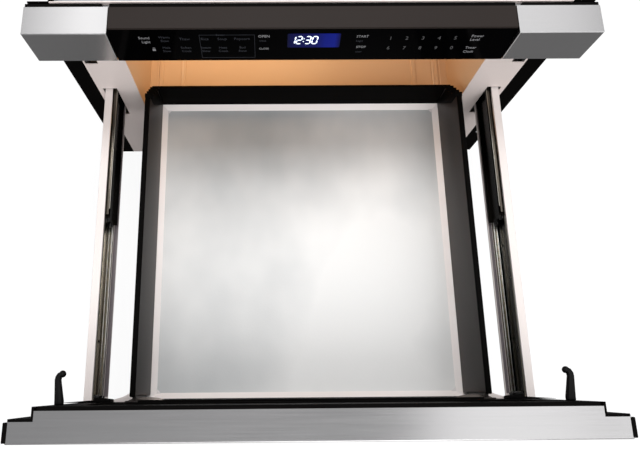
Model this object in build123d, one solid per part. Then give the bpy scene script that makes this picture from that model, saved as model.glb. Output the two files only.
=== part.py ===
"""Built-in microwave drawer, drawn with its drawer pulled fully open.

Millimetres, +Z up, +X to the right seen from the front, +Y towards the back of the cabinet.
The origin is the middle of the underside of the base plate, which rests on the cabinet deck.
"""
from build123d import *
import os
from math import atan2, cos, pi, sin, sqrt, tan, radians

os.makedirs("parts", exist_ok=True)

# ---------------------------------------------------------------- driving dimensions
# the whole appliance
front_width = 606.0
front_height = 403.0            # top of the control panel to the bottom of the drawer front
front_drop = 13.0               # the drawer front hangs this far below the base
body_inset = 24.0               # the wrapper stands this far inside the front at each side
body_drop = 16.0                # top of the wrapper under the top of the control panel
travel = 405.0                  # the drawer's full opening
machine_bay = 120.0             # space behind the cavity's front-to-back depth
seat_gap = 0.3                  # clearance of a part in its seat

# sheet metal
sheet = 1.0
plate = 1.5
face_plate = 1.2
base_lip = 20.0

# front face of the chassis
face_below_base = 10.0
face_above_body = 12.0
flange_leg = 23.0
flange_return = 30.0
flange_screw_radius = 2.6
flange_screw_inset = 11.0
flange_screw_low = 60.0
flange_screw_drop = 44.0        # upper screw under the wrapper's top

# oven cavity
runner_bay = 53.5               # wrapper's outside to the cavity's side
cavity_spare = 27.0             # cavity depth beyond the drawer's travel
cavity_floor_z = 128.0
ceiling_drop = 56.0             # cavity ceiling under the wrapper's top
bead_height = 1.6
bead_width = 7.0
bead_inset = 16.5
bead_pitch = 34.0

# control panel
panel_height = 50.0
panel_reach = 41.5              # front of the panel to the chassis face
panel_back_gap = 8.6            # back of the panel to the chassis face
cap_width = 88.1
cap_joint = 0.6
glass_setback = 7.7             # top edge of the glass behind the end caps' front
glass_thick = 4.0
glass_lip = 2.2                 # housing edge above the glass
housing_wall = 2.5
gasket_reach = 4.1
gasket_height = 6.5
gasket_gap = 3.5

# drawer front
front_gap = 4.0                 # under the control panel
skin_depth = 20.7
pan_depth = 10.0
choke_depth = 4.0
trim_thick = 3.5
pan_inset = 25.0
trim_end_gap = 1.5
trim_setback = 2.0
edge_radius = 1.2

# bowl of the drawer
bowl_side_gap = 15.8            # outside of the bowl to the cavity's side
bowl_top_z = 223.4
bowl_rim = 5.4                  # thickness of a side wall at its top
bowl_draft = 3.8                # how far a side wall leans in towards its foot
bowl_back_y = 5.1               # inner foot of the back wall behind the chassis face, drawer open
bowl_back_lean = 6.0
bowl_back_thick = 3.5
bowl_back_z = 185.5
bowl_shoulder_y = 22.0          # the side walls' top edge stops this far in front of the face
bowl_front_thick = 3.0
tray_top_z = 148.4
tray_bottom_z = 134.0
tray_cove = 7.0
cove_drop = 6.6
ceramic_thick = 4.0
ceramic_margin = 3.5

# runners
bracket_inset = 9.4             # bracket inside the wrapper's side
bracket_sheet = 1.5
bracket_top_z = 202.5
bracket_bottom_z = 148.5
bracket_top_leg = 10.0
bracket_bottom_leg = 14.9
gusset_depth = 5.5
bracket_inside = 48.0           # how far the open drawer's bracket stays behind the face
runner_height = 45.0
runner_sheet = 1.2
runner_depth = 8.1
runner_inside = 32.0
middle_height = 36.0
middle_length = 420.0
middle_lag = 22.0               # open: the middle member sticks out half the travel, less this
fixed_height = 29.0
fixed_overrun = 8.0             # the fixed member runs this far past the cavity's depth
rail_hole_start = 60.0
rail_hole_pitch = 90.0
rail_hole_count = 4
support_height = 52.0
support_foot = 30.0
runner_stop = 20.0
roller_count = 8
roller_pitch = 22.0
slot_clear_top = 3.0
slot_clear_bottom = 20.0
slot_clear_side = 2.9

# drawer drive
gear_module = 2.0
pinion_teeth = 20
pressure_angle = 20.0
gear_width = 10.0
rack_back = 4.0
backlash = 0.5
drive_y = 40.0                  # pinion behind the face
shaft_radius = 4.0

# interlock
hook_inset = 10.0               # hook inside the wrapper's side
hook_drop = 48.0                # hook under the drawer front's top
hook_length = 36.5
hook_width = 5.0
hook_thick = 8.0
latch_slot_half = 8.0
latch_slot_below = 22.0
latch_slot_above = 14.0
switch_plate = 4.0
switch_depth = 16.0
switch_length = 48.0
switch_height = 16.0
switch_gap = 24.0               # between the two switch blocks

# power parts
antenna_y = 215.0
antenna_radius = 70.0
well_radius = 97.0
well_depth = 34.0
guide_width = 90.0
guide_height = 40.0
guide_top_z = 92.0
fan_radius = 56.0
fan_inset = 109.0
fan_z = 135.0
fan_depth = 38.0

# electrical pieces
inlet_inset = 79.0
inlet_drop = 74.0
inlet_radius = 11.0
inlet_bore = 5.0
inlet_collar = 4.0
inlet_nose = 14.0
lamp_x = 130.0
lamp_drop = 48.0                # lamp under the cavity's ceiling
lamp_window_radius = 20.0
lamp_box_half = 28.0
lamp_box_depth = 40.0
lamp_box_wall = 1.5
bulb_radius = 11.0
bulb_socket_radius = 9.0
bulb_socket_length = 12.0
well_flange = 12.0
coupling_radius = 14.0
magnetron_gap = 53.0            # magnetron's axis behind the cavity
magnetron_half_width = 42.0
magnetron_half_depth = 32.0
magnetron_body = 70.0
magnetron_filter = 26.0
magnetron_fins = 6
magnetron_fin_pitch = 9.0
magnetron_anode_radius = 18.0
guide_end = 36.0
dome_radius = 9.0
transformer_gap = 23.0          # between the waveguide and the core
core_half_width = 52.0
core_half_depth = 30.0
core_height = 78.0
core_limb = 16.0
winding_width = 20.0
winding_overhang = 14.0
capacitor_gap = 30.0            # between the core and the capacitor
capacitor_half_width = 18.0
capacitor_half_depth = 27.0
capacitor_height = 80.0
terminal_height = 12.0
fan_hub = 20.0
fan_shaft = 3.0
fan_frame_wall = 6.0
fan_tip_gap = 2.0
fan_motor_depth = 12.0
fan_blades = 7
fan_pitch = 38.0
board_half_width = 80.0
board_half_depth = 50.0
board_y = 300.0
board_stand = 6.0
board_thick = 1.6
spacer_radius = 3.0
spacer_inset = 8.0
relay_width = 26.0
relay_depth = 20.0
relay_height = 20.0
relay_pitch = 35.0
choke_width = 30.0
choke_height = 28.0
gearbox_depth = 22.0
motor_drop = 46.0
motor_radius = 18.0
motor_length = 62.0
display_x = 4.5
display_half = 31.0
display_drop = 34.0

# ---------------------------------------------------------------- derived places
body_width = front_width - 2 * body_inset
body_height = front_height - front_drop - body_drop
cavity_width = body_width - 2 * runner_bay
cavity_depth = travel + cavity_spare
cavity_ceiling_z = body_height - ceiling_drop
body_depth = cavity_depth + machine_bay
face_y = -body_depth / 2
back_y = body_depth / 2
half_body = body_width / 2
flange_screw_high = body_height - flange_screw_drop
panel_top_z = front_height - front_drop
panel_bottom_z = panel_top_z - panel_height
panel_front_y = face_y - panel_reach
panel_back_y = face_y - panel_back_gap
door_top_z = panel_bottom_z - front_gap
door_front_y = panel_front_y - travel
skin_back_y = door_front_y + skin_depth
pan_back_y = skin_back_y + pan_depth
door_back_y = pan_back_y + choke_depth
skin_width = front_width - 2 * trim_thick
pan_width = skin_width - 2 * pan_inset
half_cavity = cavity_width / 2
bowl_half = half_cavity - bowl_side_gap
tray_pocket_z = tray_top_z - cove_drop
bowl_rear_inner_y = face_y + bowl_back_y
bowl_rear_outer_y = bowl_rear_inner_y + bowl_back_lean + bowl_back_thick
runner_mid_z = (bracket_top_z + bracket_bottom_z) / 2
bracket_outer_x = half_body - bracket_inset
middle_outside = travel / 2 - middle_lag
fixed_length = cavity_depth + fixed_overrun
runner_outer_x = bracket_outer_x - bracket_sheet
runner_inner_x = runner_outer_x - runner_depth
slot_inner_x = bracket_outer_x - bracket_bottom_leg - slot_clear_side / 2
slot_outer_x = bracket_outer_x + slot_clear_side
slot_top_z = bracket_top_z + slot_clear_top
slot_bottom_z = bracket_bottom_z - slot_clear_bottom
rail_plane_x = slot_inner_x - 0.5
hook_x = half_body - hook_inset
hook_z = door_top_z - hook_drop
latch_slot_low_z = hook_z - latch_slot_below
latch_slot_high_z = hook_z + latch_slot_above
magnetron_y = cavity_depth + magnetron_gap
transformer_x = guide_width / 2 + transformer_gap + core_half_width
capacitor_x = transformer_x + core_half_width + capacitor_gap + capacitor_half_width
transformer_at = (transformer_x, face_y + magnetron_y + 5)
capacitor_at = (capacitor_x, face_y + magnetron_y + 5)
fan_x = fan_inset - half_body
inlet_x = half_body - inlet_inset
inlet_z = body_height - inlet_drop
lamp_z = cavity_ceiling_z - lamp_drop
bead_places = (half_cavity - bead_inset, half_cavity - bead_inset - bead_pitch)
centre_half = front_width / 2 - cap_width - cap_joint
display_low_z = panel_top_z - display_drop
pinion_radius = gear_module * pinion_teeth / 2
pinion_z = bracket_bottom_z - rack_back - 1.25 * gear_module - pinion_radius
motor_z = pinion_z - motor_drop
gearbox_x = (half_cavity + sheet, half_cavity + sheet + gearbox_depth)
rack_x = (bracket_outer_x - bracket_sheet - gear_width, bracket_outer_x - bracket_sheet)
pan_low_z = -front_drop + 10


# ---------------------------------------------------------------- shape helpers
def block(x, y, z):
    """A box between two limits along each axis."""
    size = (x[1] - x[0], y[1] - y[0], z[1] - z[0])
    middle = ((x[0] + x[1]) / 2, (y[0] + y[1]) / 2, (z[0] + z[1]) / 2)
    return Pos(*middle) * Box(*size)


def side_profile(points, x):
    """An outline in the Y-Z plane, swept from one X to another."""
    outline = Polyline([(x[0], y, z) for y, z in points], close=True)
    return extrude(make_face(outline), amount=x[1] - x[0], dir=(1, 0, 0))


def front_profile(points, y):
    """An outline in the X-Z plane, swept from one Y to another."""
    outline = Polyline([(x, y[0], z) for x, z in points], close=True)
    return extrude(make_face(outline), amount=y[1] - y[0], dir=(0, 1, 0))


def plan_profile(points, z):
    """An outline in the X-Y plane, swept from one Z to another."""
    outline = Polyline([(x, y, z[0]) for x, y in points], close=True)
    return extrude(make_face(outline), amount=z[1] - z[0], dir=(0, 0, 1))


def rod(radius, axis, start, end, centre):
    """A round bar along one axis; centre gives the two other coordinates."""
    length = end - start
    middle = (start + end) / 2
    if axis == "x":
        return Pos(middle, *centre) * Rot(0, 90, 0) * Cylinder(radius, length)
    if axis == "y":
        return Pos(centre[0], middle, centre[1]) * Rot(90, 0, 0) * Cylinder(radius, length)
    return Pos(*centre, middle) * Cylinder(radius, length)


def mirrored(shape):
    """The same shape on the other side of the appliance."""
    return mirror(shape, about=Plane.YZ)


def both_sides(shape):
    """A pair of solids, one each side of the appliance."""
    return Compound(children=[shape, mirrored(shape)])


def group(shapes):
    """Separate solids that share a node."""
    return Compound(children=list(shapes))


def save(name, shape):
    """Write one sub-part."""
    export_step(shape, f"parts/{name}.step")


# ---------------------------------------------------------------- cabinet: sheet-metal chassis
def base_plate():
    """Folded tray that carries the power parts and rests on the cabinet deck."""
    half = half_body - sheet
    y = (face_y + face_plate, back_y - sheet)
    tray = block((-half, half), y, (0, base_lip))
    inside = block((-half + plate, half - plate), (y[0] + plate, y[1] - plate), (plate, base_lip))
    return tray - inside


def outer_wrapper():
    """One sheet folded over the top and down both sides."""
    y = (face_y + face_plate, back_y)
    lower = 2.0
    shell = block((-half_body, half_body), y, (lower, body_height))
    half = half_body - sheet
    return shell - block((-half, half), y, (lower, body_height - sheet))


def rear_panel():
    """Back plate with rows of louvres in front of the fan and a hole for the power inlet."""
    half = half_body - sheet
    wall = block((-half, half), (back_y - sheet, back_y), (0, body_height - sheet))
    louvre = (50.0, 4.0)
    louvre_pitch = 11.0
    rows = 10
    for row in range(rows):
        z = fan_z + (row - (rows - 1) / 2) * louvre_pitch
        for x in (fan_x - 27, fan_x + 27):
            wall -= Pos(x, back_y - sheet / 2, z) * Box(louvre[0], 2 * sheet, louvre[1])
        wall -= Pos(60, back_y - sheet / 2, z + 130) * Box(louvre[0], 2 * sheet, louvre[1])
    return wall - rod(inlet_radius, "y", back_y - 2 * sheet, back_y + sheet, (inlet_x, inlet_z))


def face_frame():
    """White front plate with the cavity opening, the runner slots and the latch slots."""
    y = (face_y, face_y + face_plate)
    top_z = body_height + face_above_body
    wall = block((-half_body, half_body), y, (-face_below_base, top_z))
    wall -= block((-half_cavity, half_cavity), y, (cavity_floor_z, cavity_ceiling_z))
    for side in (-1, 1):
        x = sorted((side * slot_inner_x, side * slot_outer_x))
        wall -= block(x, y, (slot_bottom_z, slot_top_z))
        x = sorted((side * (hook_x - latch_slot_half), side * (hook_x + latch_slot_half)))
        wall -= block(x, y, (latch_slot_low_z, latch_slot_high_z))
    return wall


def side_flange():
    """Black angle at the right edge of the face, screwed to the cabinet front."""
    z = (-face_below_base, body_height + face_above_body)
    leg = block((half_body, half_body + flange_leg), (face_y, face_y + plate), z)
    for hole_z in (flange_screw_low, flange_screw_high):
        leg -= rod(flange_screw_radius, "y", face_y - 1, face_y + 3, (half_body + flange_screw_inset, hole_z))
    back = block((half_body, half_body + face_plate), (face_y + plate, face_y + flange_return), z)
    return leg + back


# ---------------------------------------------------------------- cabinet: oven cavity
def cavity_shell():
    """Welded liner: two sides, ceiling and back, with the lamp window in the back."""
    y = (face_y + face_plate, face_y + cavity_depth)
    bottom_z = cavity_floor_z - sheet
    shell = block((-half_cavity - sheet, half_cavity + sheet), (y[0], y[1] + sheet),
                  (bottom_z, cavity_ceiling_z + sheet))
    shell -= block((-half_cavity, half_cavity), y, (bottom_z, cavity_ceiling_z))
    return shell - rod(lamp_window_radius, "y", y[1] - 1, y[1] + 2, (lamp_x, lamp_z))


def cavity_floor():
    """Cavity bottom with pressed beads and the round window above the antenna."""
    y = (face_y + face_plate, face_y + cavity_depth)
    z = (cavity_floor_z - sheet, cavity_floor_z)
    floor = block((-half_cavity, half_cavity), y, z)
    for x in (-bead_places[0], -bead_places[1], bead_places[1], bead_places[0]):
        bead = block((x - bead_width / 2, x + bead_width / 2), (y[0] + 8, y[1] - 8),
                     (cavity_floor_z, cavity_floor_z + bead_height))
        floor += fillet(bead.edges().filter_by(Axis.Y).group_by(Axis.Z)[-1], bead_height * 0.9)
    window = rod(well_radius - 8, "z", z[0] - 1, z[1] + 1, (0, face_y + antenna_y))
    return floor - window


def antenna_cover():
    """Mica disc that keeps splashes off the antenna."""
    top = cavity_floor_z - sheet
    return rod(well_radius + well_flange, "z", top - sheet, top, (0, face_y + antenna_y))


def antenna_well():
    """Pressed pan under the cover in which the antenna turns."""
    centre = (0, face_y + antenna_y)
    top = cavity_floor_z - 2 * sheet
    flange = rod(well_radius + well_flange, "z", top - sheet, top, centre)
    cup = rod(well_radius, "z", guide_top_z, top, centre)
    inside = rod(well_radius - sheet, "z", guide_top_z + sheet, top + sheet, centre)
    mouth = rod(coupling_radius, "z", guide_top_z - 1, top, centre)
    return flange + cup - inside - mouth


def waveguide():
    """Rectangular duct from the magnetron to the antenna."""
    y = (face_y + antenna_y - guide_width / 2 - 15, face_y + magnetron_y + guide_end)
    z = (guide_top_z - guide_height, guide_top_z)
    half = guide_width / 2
    duct = block((-half, half), y, z)
    duct -= block((-half + sheet, half - sheet), (y[0] + sheet, y[1] - sheet), (z[0] + sheet, z[1] - sheet))
    duct -= rod(coupling_radius, "z", z[1] - 2, z[1] + 1, (0, face_y + antenna_y))
    duct -= rod(dome_radius + 1, "z", z[1] - 2, z[1] + 1, (0, face_y + magnetron_y))
    return duct - rod(shaft_radius + 2, "z", z[0] - 1, z[0] + 2, (0, face_y + antenna_y))


def antenna():
    """Slotted aluminium disc on a shaft that stands in the waveguide."""
    centre = (0, face_y + antenna_y)
    disc_z = guide_top_z + 20
    rotor = rod(antenna_radius, "z", disc_z, disc_z + plate, centre)
    slot_count = 4
    for step in range(slot_count):
        turn = 360 / slot_count * step
        slot = Pos(antenna_radius * 0.62, 0, 0) * Box(8, 52, 6)
        rotor -= Pos(*centre, disc_z) * Rot(0, 0, turn) * slot
    rotor += rod(9, "z", disc_z - 8, disc_z, centre)
    return rotor + rod(shaft_radius, "z", guide_top_z - guide_height - 10, disc_z, centre)


def antenna_motor():
    """Small synchronous motor under the waveguide, with its shaft socket."""
    centre = (0, face_y + antenna_y)
    top = guide_top_z - guide_height
    body = rod(25, "z", top - 18, top, centre)
    body += block((-34, 34), (centre[1] - 6, centre[1] + 6), (top - 2, top))
    return body - rod(shaft_radius + 0.1, "z", top - 10.5, top + 1, centre)


# ---------------------------------------------------------------- cabinet: power parts
def magnetron():
    """Finned magnetron standing on the end of the waveguide."""
    y = face_y + magnetron_y
    base = guide_top_z
    wide = (-magnetron_half_width, magnetron_half_width)
    deep = (y - magnetron_half_depth, y + magnetron_half_depth)
    body = block(wide, deep, (base, base + 4))
    body += block(wide, deep, (base + magnetron_body - 4, base + magnetron_body))
    for x in (wide[0], wide[1] - 2):
        body += block((x, x + 2), deep, (base, base + magnetron_body))
    for step in range(magnetron_fins):
        fin_z = base + 14 + step * magnetron_fin_pitch
        body += block((wide[0] + 1, wide[1] - 1), (deep[0] + 2, deep[1] - 2), (fin_z, fin_z + 2))
    body += rod(magnetron_anode_radius, "z", base, base + magnetron_body, (0, y))
    filter_box = block((wide[0] + 16, wide[1] - 16), (deep[0] + 4, deep[1] - 4),
                       (base + magnetron_body, base + magnetron_body + magnetron_filter))
    return body + filter_box + rod(dome_radius, "z", base - 22, base, (0, y))


def transformer_core():
    """Stack of laminations with two windows for the windings."""
    x, y = transformer_at
    deep = (y - core_half_depth, y + core_half_depth)
    core = block((x - core_half_width, x + core_half_width), deep, (plate, plate + core_height))
    for side in (-1, 1):
        window = sorted((x + side * core_limb, x + side * (core_limb + winding_width)))
        core -= block(window, deep, (plate + core_limb, plate + core_height - core_limb))
    return core


def transformer_winding():
    """Copper windings that fill both windows and turn round the core's ends."""
    x, y = transformer_at
    z = (plate + core_limb + seat_gap, plate + core_height - core_limb - seat_gap)
    half = core_limb + winding_width - seat_gap
    deep = core_half_depth + winding_overhang
    coil = block((x - half, x + half), (y - deep, y + deep), z)
    coil = fillet(coil.edges().filter_by(Axis.Z), winding_overhang * 0.6)
    middle = core_limb + seat_gap
    return coil - block((x - middle, x + middle), (y - core_half_depth - seat_gap, y + core_half_depth + seat_gap), z)


def hv_capacitor():
    """Flat-sided can with two terminals, on the base plate."""
    x, y = capacitor_at
    top = plate + capacitor_height
    can = block((x - capacitor_half_width, x + capacitor_half_width),
                (y - capacitor_half_depth, y + capacitor_half_depth), (plate, top))
    can = fillet(can.edges().filter_by(Axis.Z), capacitor_half_width - 2)
    for side in (-1, 1):
        blade_y = y + side * capacitor_half_depth * 0.4
        can += block((x - 4, x + 4), (blade_y - 1, blade_y + 1), (top, top + terminal_height))
    return can


def fan_housing():
    """Square fan frame on the rear panel, with the motor hub on four struts."""
    y = (back_y - sheet - fan_depth, back_y - sheet)
    half = fan_radius + fan_frame_wall
    frame = block((fan_x - half, fan_x + half), y, (fan_z - half, fan_z + half))
    frame = fillet(frame.edges().filter_by(Axis.Y), fan_frame_wall - 1)
    frame -= rod(fan_radius + fan_tip_gap, "y", y[0] - 1, y[1] + 1, (fan_x, fan_z))
    hub = rod(fan_hub, "y", y[1] - fan_motor_depth, y[1], (fan_x, fan_z))
    for turn in (45, 135):
        hub += Pos(fan_x, y[1] - 2, fan_z) * Rot(0, turn, 0) * Box(2 * (fan_radius + fan_tip_gap) + 1, 4, 5)
    frame += hub
    return frame - rod(fan_shaft + 0.1, "y", y[1] - fan_motor_depth - 1, y[1] - 5, (fan_x, fan_z))


def fan_wheel():
    """Axial wheel with pitched blades on a short shaft."""
    y_front = back_y - sheet - fan_depth + 3
    y_back = back_y - sheet - fan_motor_depth - 1
    middle = (y_front + y_back) / 2
    wheel = rod(fan_hub, "y", y_front, y_back, (fan_x, fan_z))
    root = fan_hub - 3
    span = fan_radius - root
    for step in range(fan_blades):
        blade = Pos(root + span / 2, 0, 0) * Rot(fan_pitch, 0, 0) * Box(span, 2, y_back - y_front)
        wheel += Pos(fan_x, middle, fan_z) * Rot(0, 360 / fan_blades * step, 0) * blade
    return wheel + rod(fan_shaft, "y", y_back, back_y - sheet - 6, (fan_x, fan_z))


def cavity_lamp():
    """Lamp box behind the cavity's back wall, over the lamp window."""
    y = face_y + cavity_depth + sheet
    half = lamp_box_half
    inner = lamp_box_half - lamp_box_wall
    box = block((lamp_x - half, lamp_x + half), (y, y + lamp_box_depth), (lamp_z - half, lamp_z + half))
    return box - block((lamp_x - inner, lamp_x + inner), (y, y + lamp_box_depth - lamp_box_wall),
                       (lamp_z - inner, lamp_z + inner))


def lamp_bulb():
    """Small bulb in a socket at the back of the lamp box."""
    y = face_y + cavity_depth + sheet + lamp_box_depth - lamp_box_wall
    socket = rod(bulb_socket_radius, "y", y - bulb_socket_length, y, (lamp_x, lamp_z))
    return socket + Pos(lamp_x, y - bulb_socket_length - bulb_radius + 3, lamp_z) * Sphere(bulb_radius)


def power_board():
    """Relay and filter board on spacers over the cavity ceiling."""
    z = cavity_ceiling_z + sheet
    y = face_y + board_y
    top = z + board_stand + board_thick
    board = block((-board_half_width, board_half_width), (y - board_half_depth, y + board_half_depth),
                  (z + board_stand, top))
    spacer_x = board_half_width - spacer_inset
    spacer_y = board_half_depth - spacer_inset
    for at in ((-spacer_x, -spacer_y), (-spacer_x, spacer_y), (spacer_x, -spacer_y), (spacer_x, spacer_y)):
        board += rod(spacer_radius, "z", z, z + board_stand, (at[0], y + at[1]))
    for step in (-1, 0, 1):
        relay = Box(relay_width, relay_depth, relay_height)
        board += Pos((step - 0.4) * relay_pitch, y - relay_depth, top + relay_height / 2) * relay
    choke = Box(choke_width, relay_depth, choke_height)
    board += Pos(spacer_x - choke_width / 2, y + relay_depth, top + choke_height / 2) * choke
    can_radius = relay_width / 2
    return board + rod(can_radius, "z", top, top + relay_height, (can_radius - spacer_x, y + relay_depth))


def power_inlet():
    """Strain-relief bush in the rear panel where the supply lead would enter."""
    centre = (inlet_x, inlet_z)
    bush = rod(inlet_radius - seat_gap / 2, "y", back_y - sheet, back_y, centre)
    bush += rod(inlet_radius + 3, "y", back_y, back_y + inlet_collar, centre)
    bush += rod(inlet_radius - 1, "y", back_y + inlet_collar, back_y + inlet_nose, centre)
    bush += rod(inlet_radius + 2, "y", back_y - sheet - inlet_collar, back_y - sheet, centre)
    return bush - rod(inlet_bore, "y", back_y - sheet - inlet_collar, back_y + inlet_nose, centre)


# ---------------------------------------------------------------- cabinet: control panel
def glass_line(offset, z):
    """Y of the tilted glass plane, moved back by offset, at a height."""
    rise = panel_height
    slope = glass_setback / rise
    front = panel_front_y - 0.2 + (z - panel_bottom_z) * slope
    return front + offset * sqrt(1 + slope * slope)


def panel_prism(offset_front, offset_back, z, half_width):
    """A slab parallel to the tilted glass."""
    points = [(glass_line(offset_front, z[0]), z[0]), (glass_line(offset_front, z[1]), z[1]),
              (glass_line(offset_back, z[1]), z[1]), (glass_line(offset_back, z[0]), z[0])]
    return side_profile(points, (-half_width, half_width))


def control_housing():
    """Bronze-brown moulded case between the end caps, open at the back."""
    half = centre_half
    z = (panel_bottom_z + 0.2, panel_top_z - 0.4)
    lip_z = z[1] - glass_lip
    outer = [(panel_back_y, z[0]), (glass_line(glass_thick, z[0]), z[0]), (glass_line(glass_thick, lip_z), lip_z),
             (glass_line(0, lip_z), lip_z), (glass_line(0, z[1]), z[1]), (panel_back_y, z[1])]
    wall = housing_wall
    inner_z = (z[0] + wall, z[1] - wall)
    inner = [(panel_back_y, inner_z[0]), (glass_line(glass_thick + wall, inner_z[0]), inner_z[0]),
             (glass_line(glass_thick + wall, inner_z[1]), inner_z[1]), (panel_back_y, inner_z[1])]
    case = side_profile(outer, (-half, half))
    case -= side_profile(inner, (-half + wall, half - wall))
    x = (display_x - display_half - 1, display_x + display_half + 1)
    return case - block(x, (panel_front_y, panel_front_y + 16), (display_low_z - 1, inner_z[1]))


def touch_glass():
    """Glossy black touch glass leaning back in the housing."""
    z = (panel_bottom_z + 0.2, panel_top_z - 0.4 - glass_lip - 0.1)
    slab = panel_prism(0, glass_thick, z, centre_half - 0.3)
    front_edges = slab.edges().group_by(Axis.Y)[0]
    return chamfer(front_edges, 0.5)


def end_cap():
    """Bent stainless cap at the right end of the control panel, open at the back."""
    x = (front_width / 2 - cap_width, front_width / 2)
    y = (panel_front_y, panel_back_y)
    cap = block(x, y, (panel_bottom_z, panel_top_z))
    front = cap.edges().group_by(Axis.Y)[0]
    cap = fillet(front, edge_radius)
    inner_z = (panel_bottom_z + sheet, panel_top_z - sheet)
    return cap - block((x[0] + sheet, x[1] - sheet), (y[0] + sheet, y[1]), inner_z)


def display_module():
    """Clock display held against the back of the glass."""
    z = (display_low_z, panel_top_z - 5.5)
    slab = panel_prism(glass_thick, glass_thick + 6, z, display_half)
    return Pos(display_x, 0, 0) * slab


def control_board():
    """Circuit board standing in the housing behind the display."""
    half = centre_half - 20
    z = (panel_bottom_z + 0.2 + housing_wall, panel_top_z - 0.4 - housing_wall)
    y = panel_back_y - 12
    board = block((-half, half), (y, y + 1.6), z)
    for x, size in ((-140, 22), (-60, 14), (30, 30), (110, 18)):
        board += block((x - size / 2, x + size / 2), (y + 1.6, y + 5), (z[0] + 12, z[0] + 12 + size * 0.6))
    return board


def panel_gasket():
    """Three black sealing strips along the top edge behind the panel."""
    y = (panel_back_y, panel_back_y + gasket_reach)
    z = (panel_top_z - 0.4 - gasket_height, panel_top_z - 0.4)
    edge = front_width / 2
    inner = edge - cap_width
    strips = [block((-inner + 1, inner - 1), y, z)]
    for side in (-1, 1):
        x = sorted((side * (inner + gasket_gap + 3), side * (edge - 1)))
        strips.append(block(x, y, z))
    return group(strips)


def panel_bracket():
    """Channel that carries the control panel on the chassis face."""
    half = front_width / 2 - 6
    z = (panel_bottom_z + 6, panel_top_z - 0.4 - gasket_height - 2)
    channel = block((-half, half), (panel_back_y, face_y), z)
    inside = block((-half, half), (panel_back_y + plate, face_y), (z[0] + plate, z[1] - plate))
    channel -= inside
    feet = []
    for side in (-1, 1):
        x = sorted((side * 20, side * (half_body - 30)))
        feet.append(block(x, (face_y - plate, face_y), (z[0] + plate, z[0] + 14)))
    return channel + feet[0] + feet[1]


# ---------------------------------------------------------------- cabinet: runners and drive
def rail_support():
    """Angle on the cavity's side that carries the fixed runner member."""
    y = (face_y + face_plate, face_y + fixed_length + fixed_overrun)
    z = (runner_mid_z - support_height / 2, runner_mid_z + support_height / 2)
    x = (half_cavity + sheet, rail_plane_x - runner_sheet)
    web = block((x[1] - plate, x[1]), y, z)
    last_foot = face_y + cavity_depth - support_foot
    for start in (y[0], (y[0] + last_foot) / 2, last_foot):
        web += block((x[0], x[1] - plate), (start, start + support_foot), (z[1] - plate, z[1]))
        web += block((x[0], x[0] + plate), (start, start + support_foot), (z[0], z[1] - plate))
    return web


def channel_runner(x_web, x_mouth, height, y, thick):
    """Rolled C profile along Y; the web is at x_web and the mouth at x_mouth."""
    side = 1 if x_mouth > x_web else -1
    z = (runner_mid_z - height / 2, runner_mid_z + height / 2)
    body = block(sorted((x_web, x_mouth)), y, z)
    inner = sorted((x_web + side * thick, x_mouth))
    return body - block(inner, y, (z[0] + thick, z[1] - thick))


def fixed_rail():
    """Inner runner member, screwed to its support."""
    y = (face_y + face_plate + 2, face_y + face_plate + 2 + fixed_length)
    rail = channel_runner(rail_plane_x - runner_sheet, rail_plane_x + 4.2, fixed_height, y, runner_sheet)
    return rail


def rollers(x, heights, start):
    """Bearing rollers in two rows, above and below the runner's middle, between two heights from it."""
    radius = (heights[1] - heights[0]) / 2
    row = []
    for step in range(roller_count):
        for side in (-1, 1):
            z = runner_mid_z + side * (heights[0] + radius)
            row.append(rod(radius, "x", x[0], x[1], (start + step * roller_pitch, z)))
    return row


def middle_rail():
    """Middle runner member: two channels back to back on one web, with the bearing rollers."""
    y = (face_y - middle_outside, face_y - middle_outside + middle_length)
    web_x = rail_plane_x + 6
    member = channel_runner(web_x, web_x + 5, middle_height, y, runner_sheet)
    member += channel_runner(web_x + runner_sheet, web_x - 4.4, middle_height, y, runner_sheet)
    sunk = 0.1
    outer = (middle_height / 2 - sunk, runner_height / 2 - runner_sheet - seat_gap)
    inner = (fixed_height / 2 + seat_gap, middle_height / 2 - runner_sheet + sunk)
    outer_start = y[0] + roller_pitch
    for roller in rollers((runner_inner_x + runner_sheet + seat_gap, web_x + 5), outer, outer_start):
        member += roller
    for roller in rollers((rail_plane_x + 1.6, rail_plane_x + 4.2), inner, face_y + 20):
        member += roller
    return member


def rail_stop():
    """Black end stop and ball retainer at the front of the middle member."""
    y = (face_y - middle_outside - 6, face_y - middle_outside + runner_stop)
    web_x = rail_plane_x + 6
    cage = block((web_x + runner_sheet, web_x + 5 + 1.5), y, (runner_mid_z - 13, runner_mid_z + 13))
    nose = block((web_x - 0.5, web_x + 6.5), (y[0], face_y - middle_outside),
                 (runner_mid_z - middle_height / 2 + 1, runner_mid_z + middle_height / 2 - 1))
    return cage + nose


def drawer_rail():
    """Zinc outer runner member inside the drawer bracket."""
    y = (door_back_y + 2, face_y + runner_inside)
    rail = channel_runner(runner_outer_x, runner_inner_x, runner_height, y, runner_sheet)
    for z_side in (-1, 1):
        lip_z = sorted((runner_mid_z + z_side * (runner_height / 2 - runner_sheet),
                        runner_mid_z + z_side * (runner_height / 2 - 3.4)))
        rail += block((runner_inner_x, runner_inner_x + runner_sheet), y, lip_z)
    for step in range(rail_hole_count):
        hole_y = y[0] + rail_hole_start + step * rail_hole_pitch
        rail -= rod(2.2, "x", runner_inner_x, runner_outer_x + 1, (hole_y, runner_mid_z))
    return rail


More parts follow.
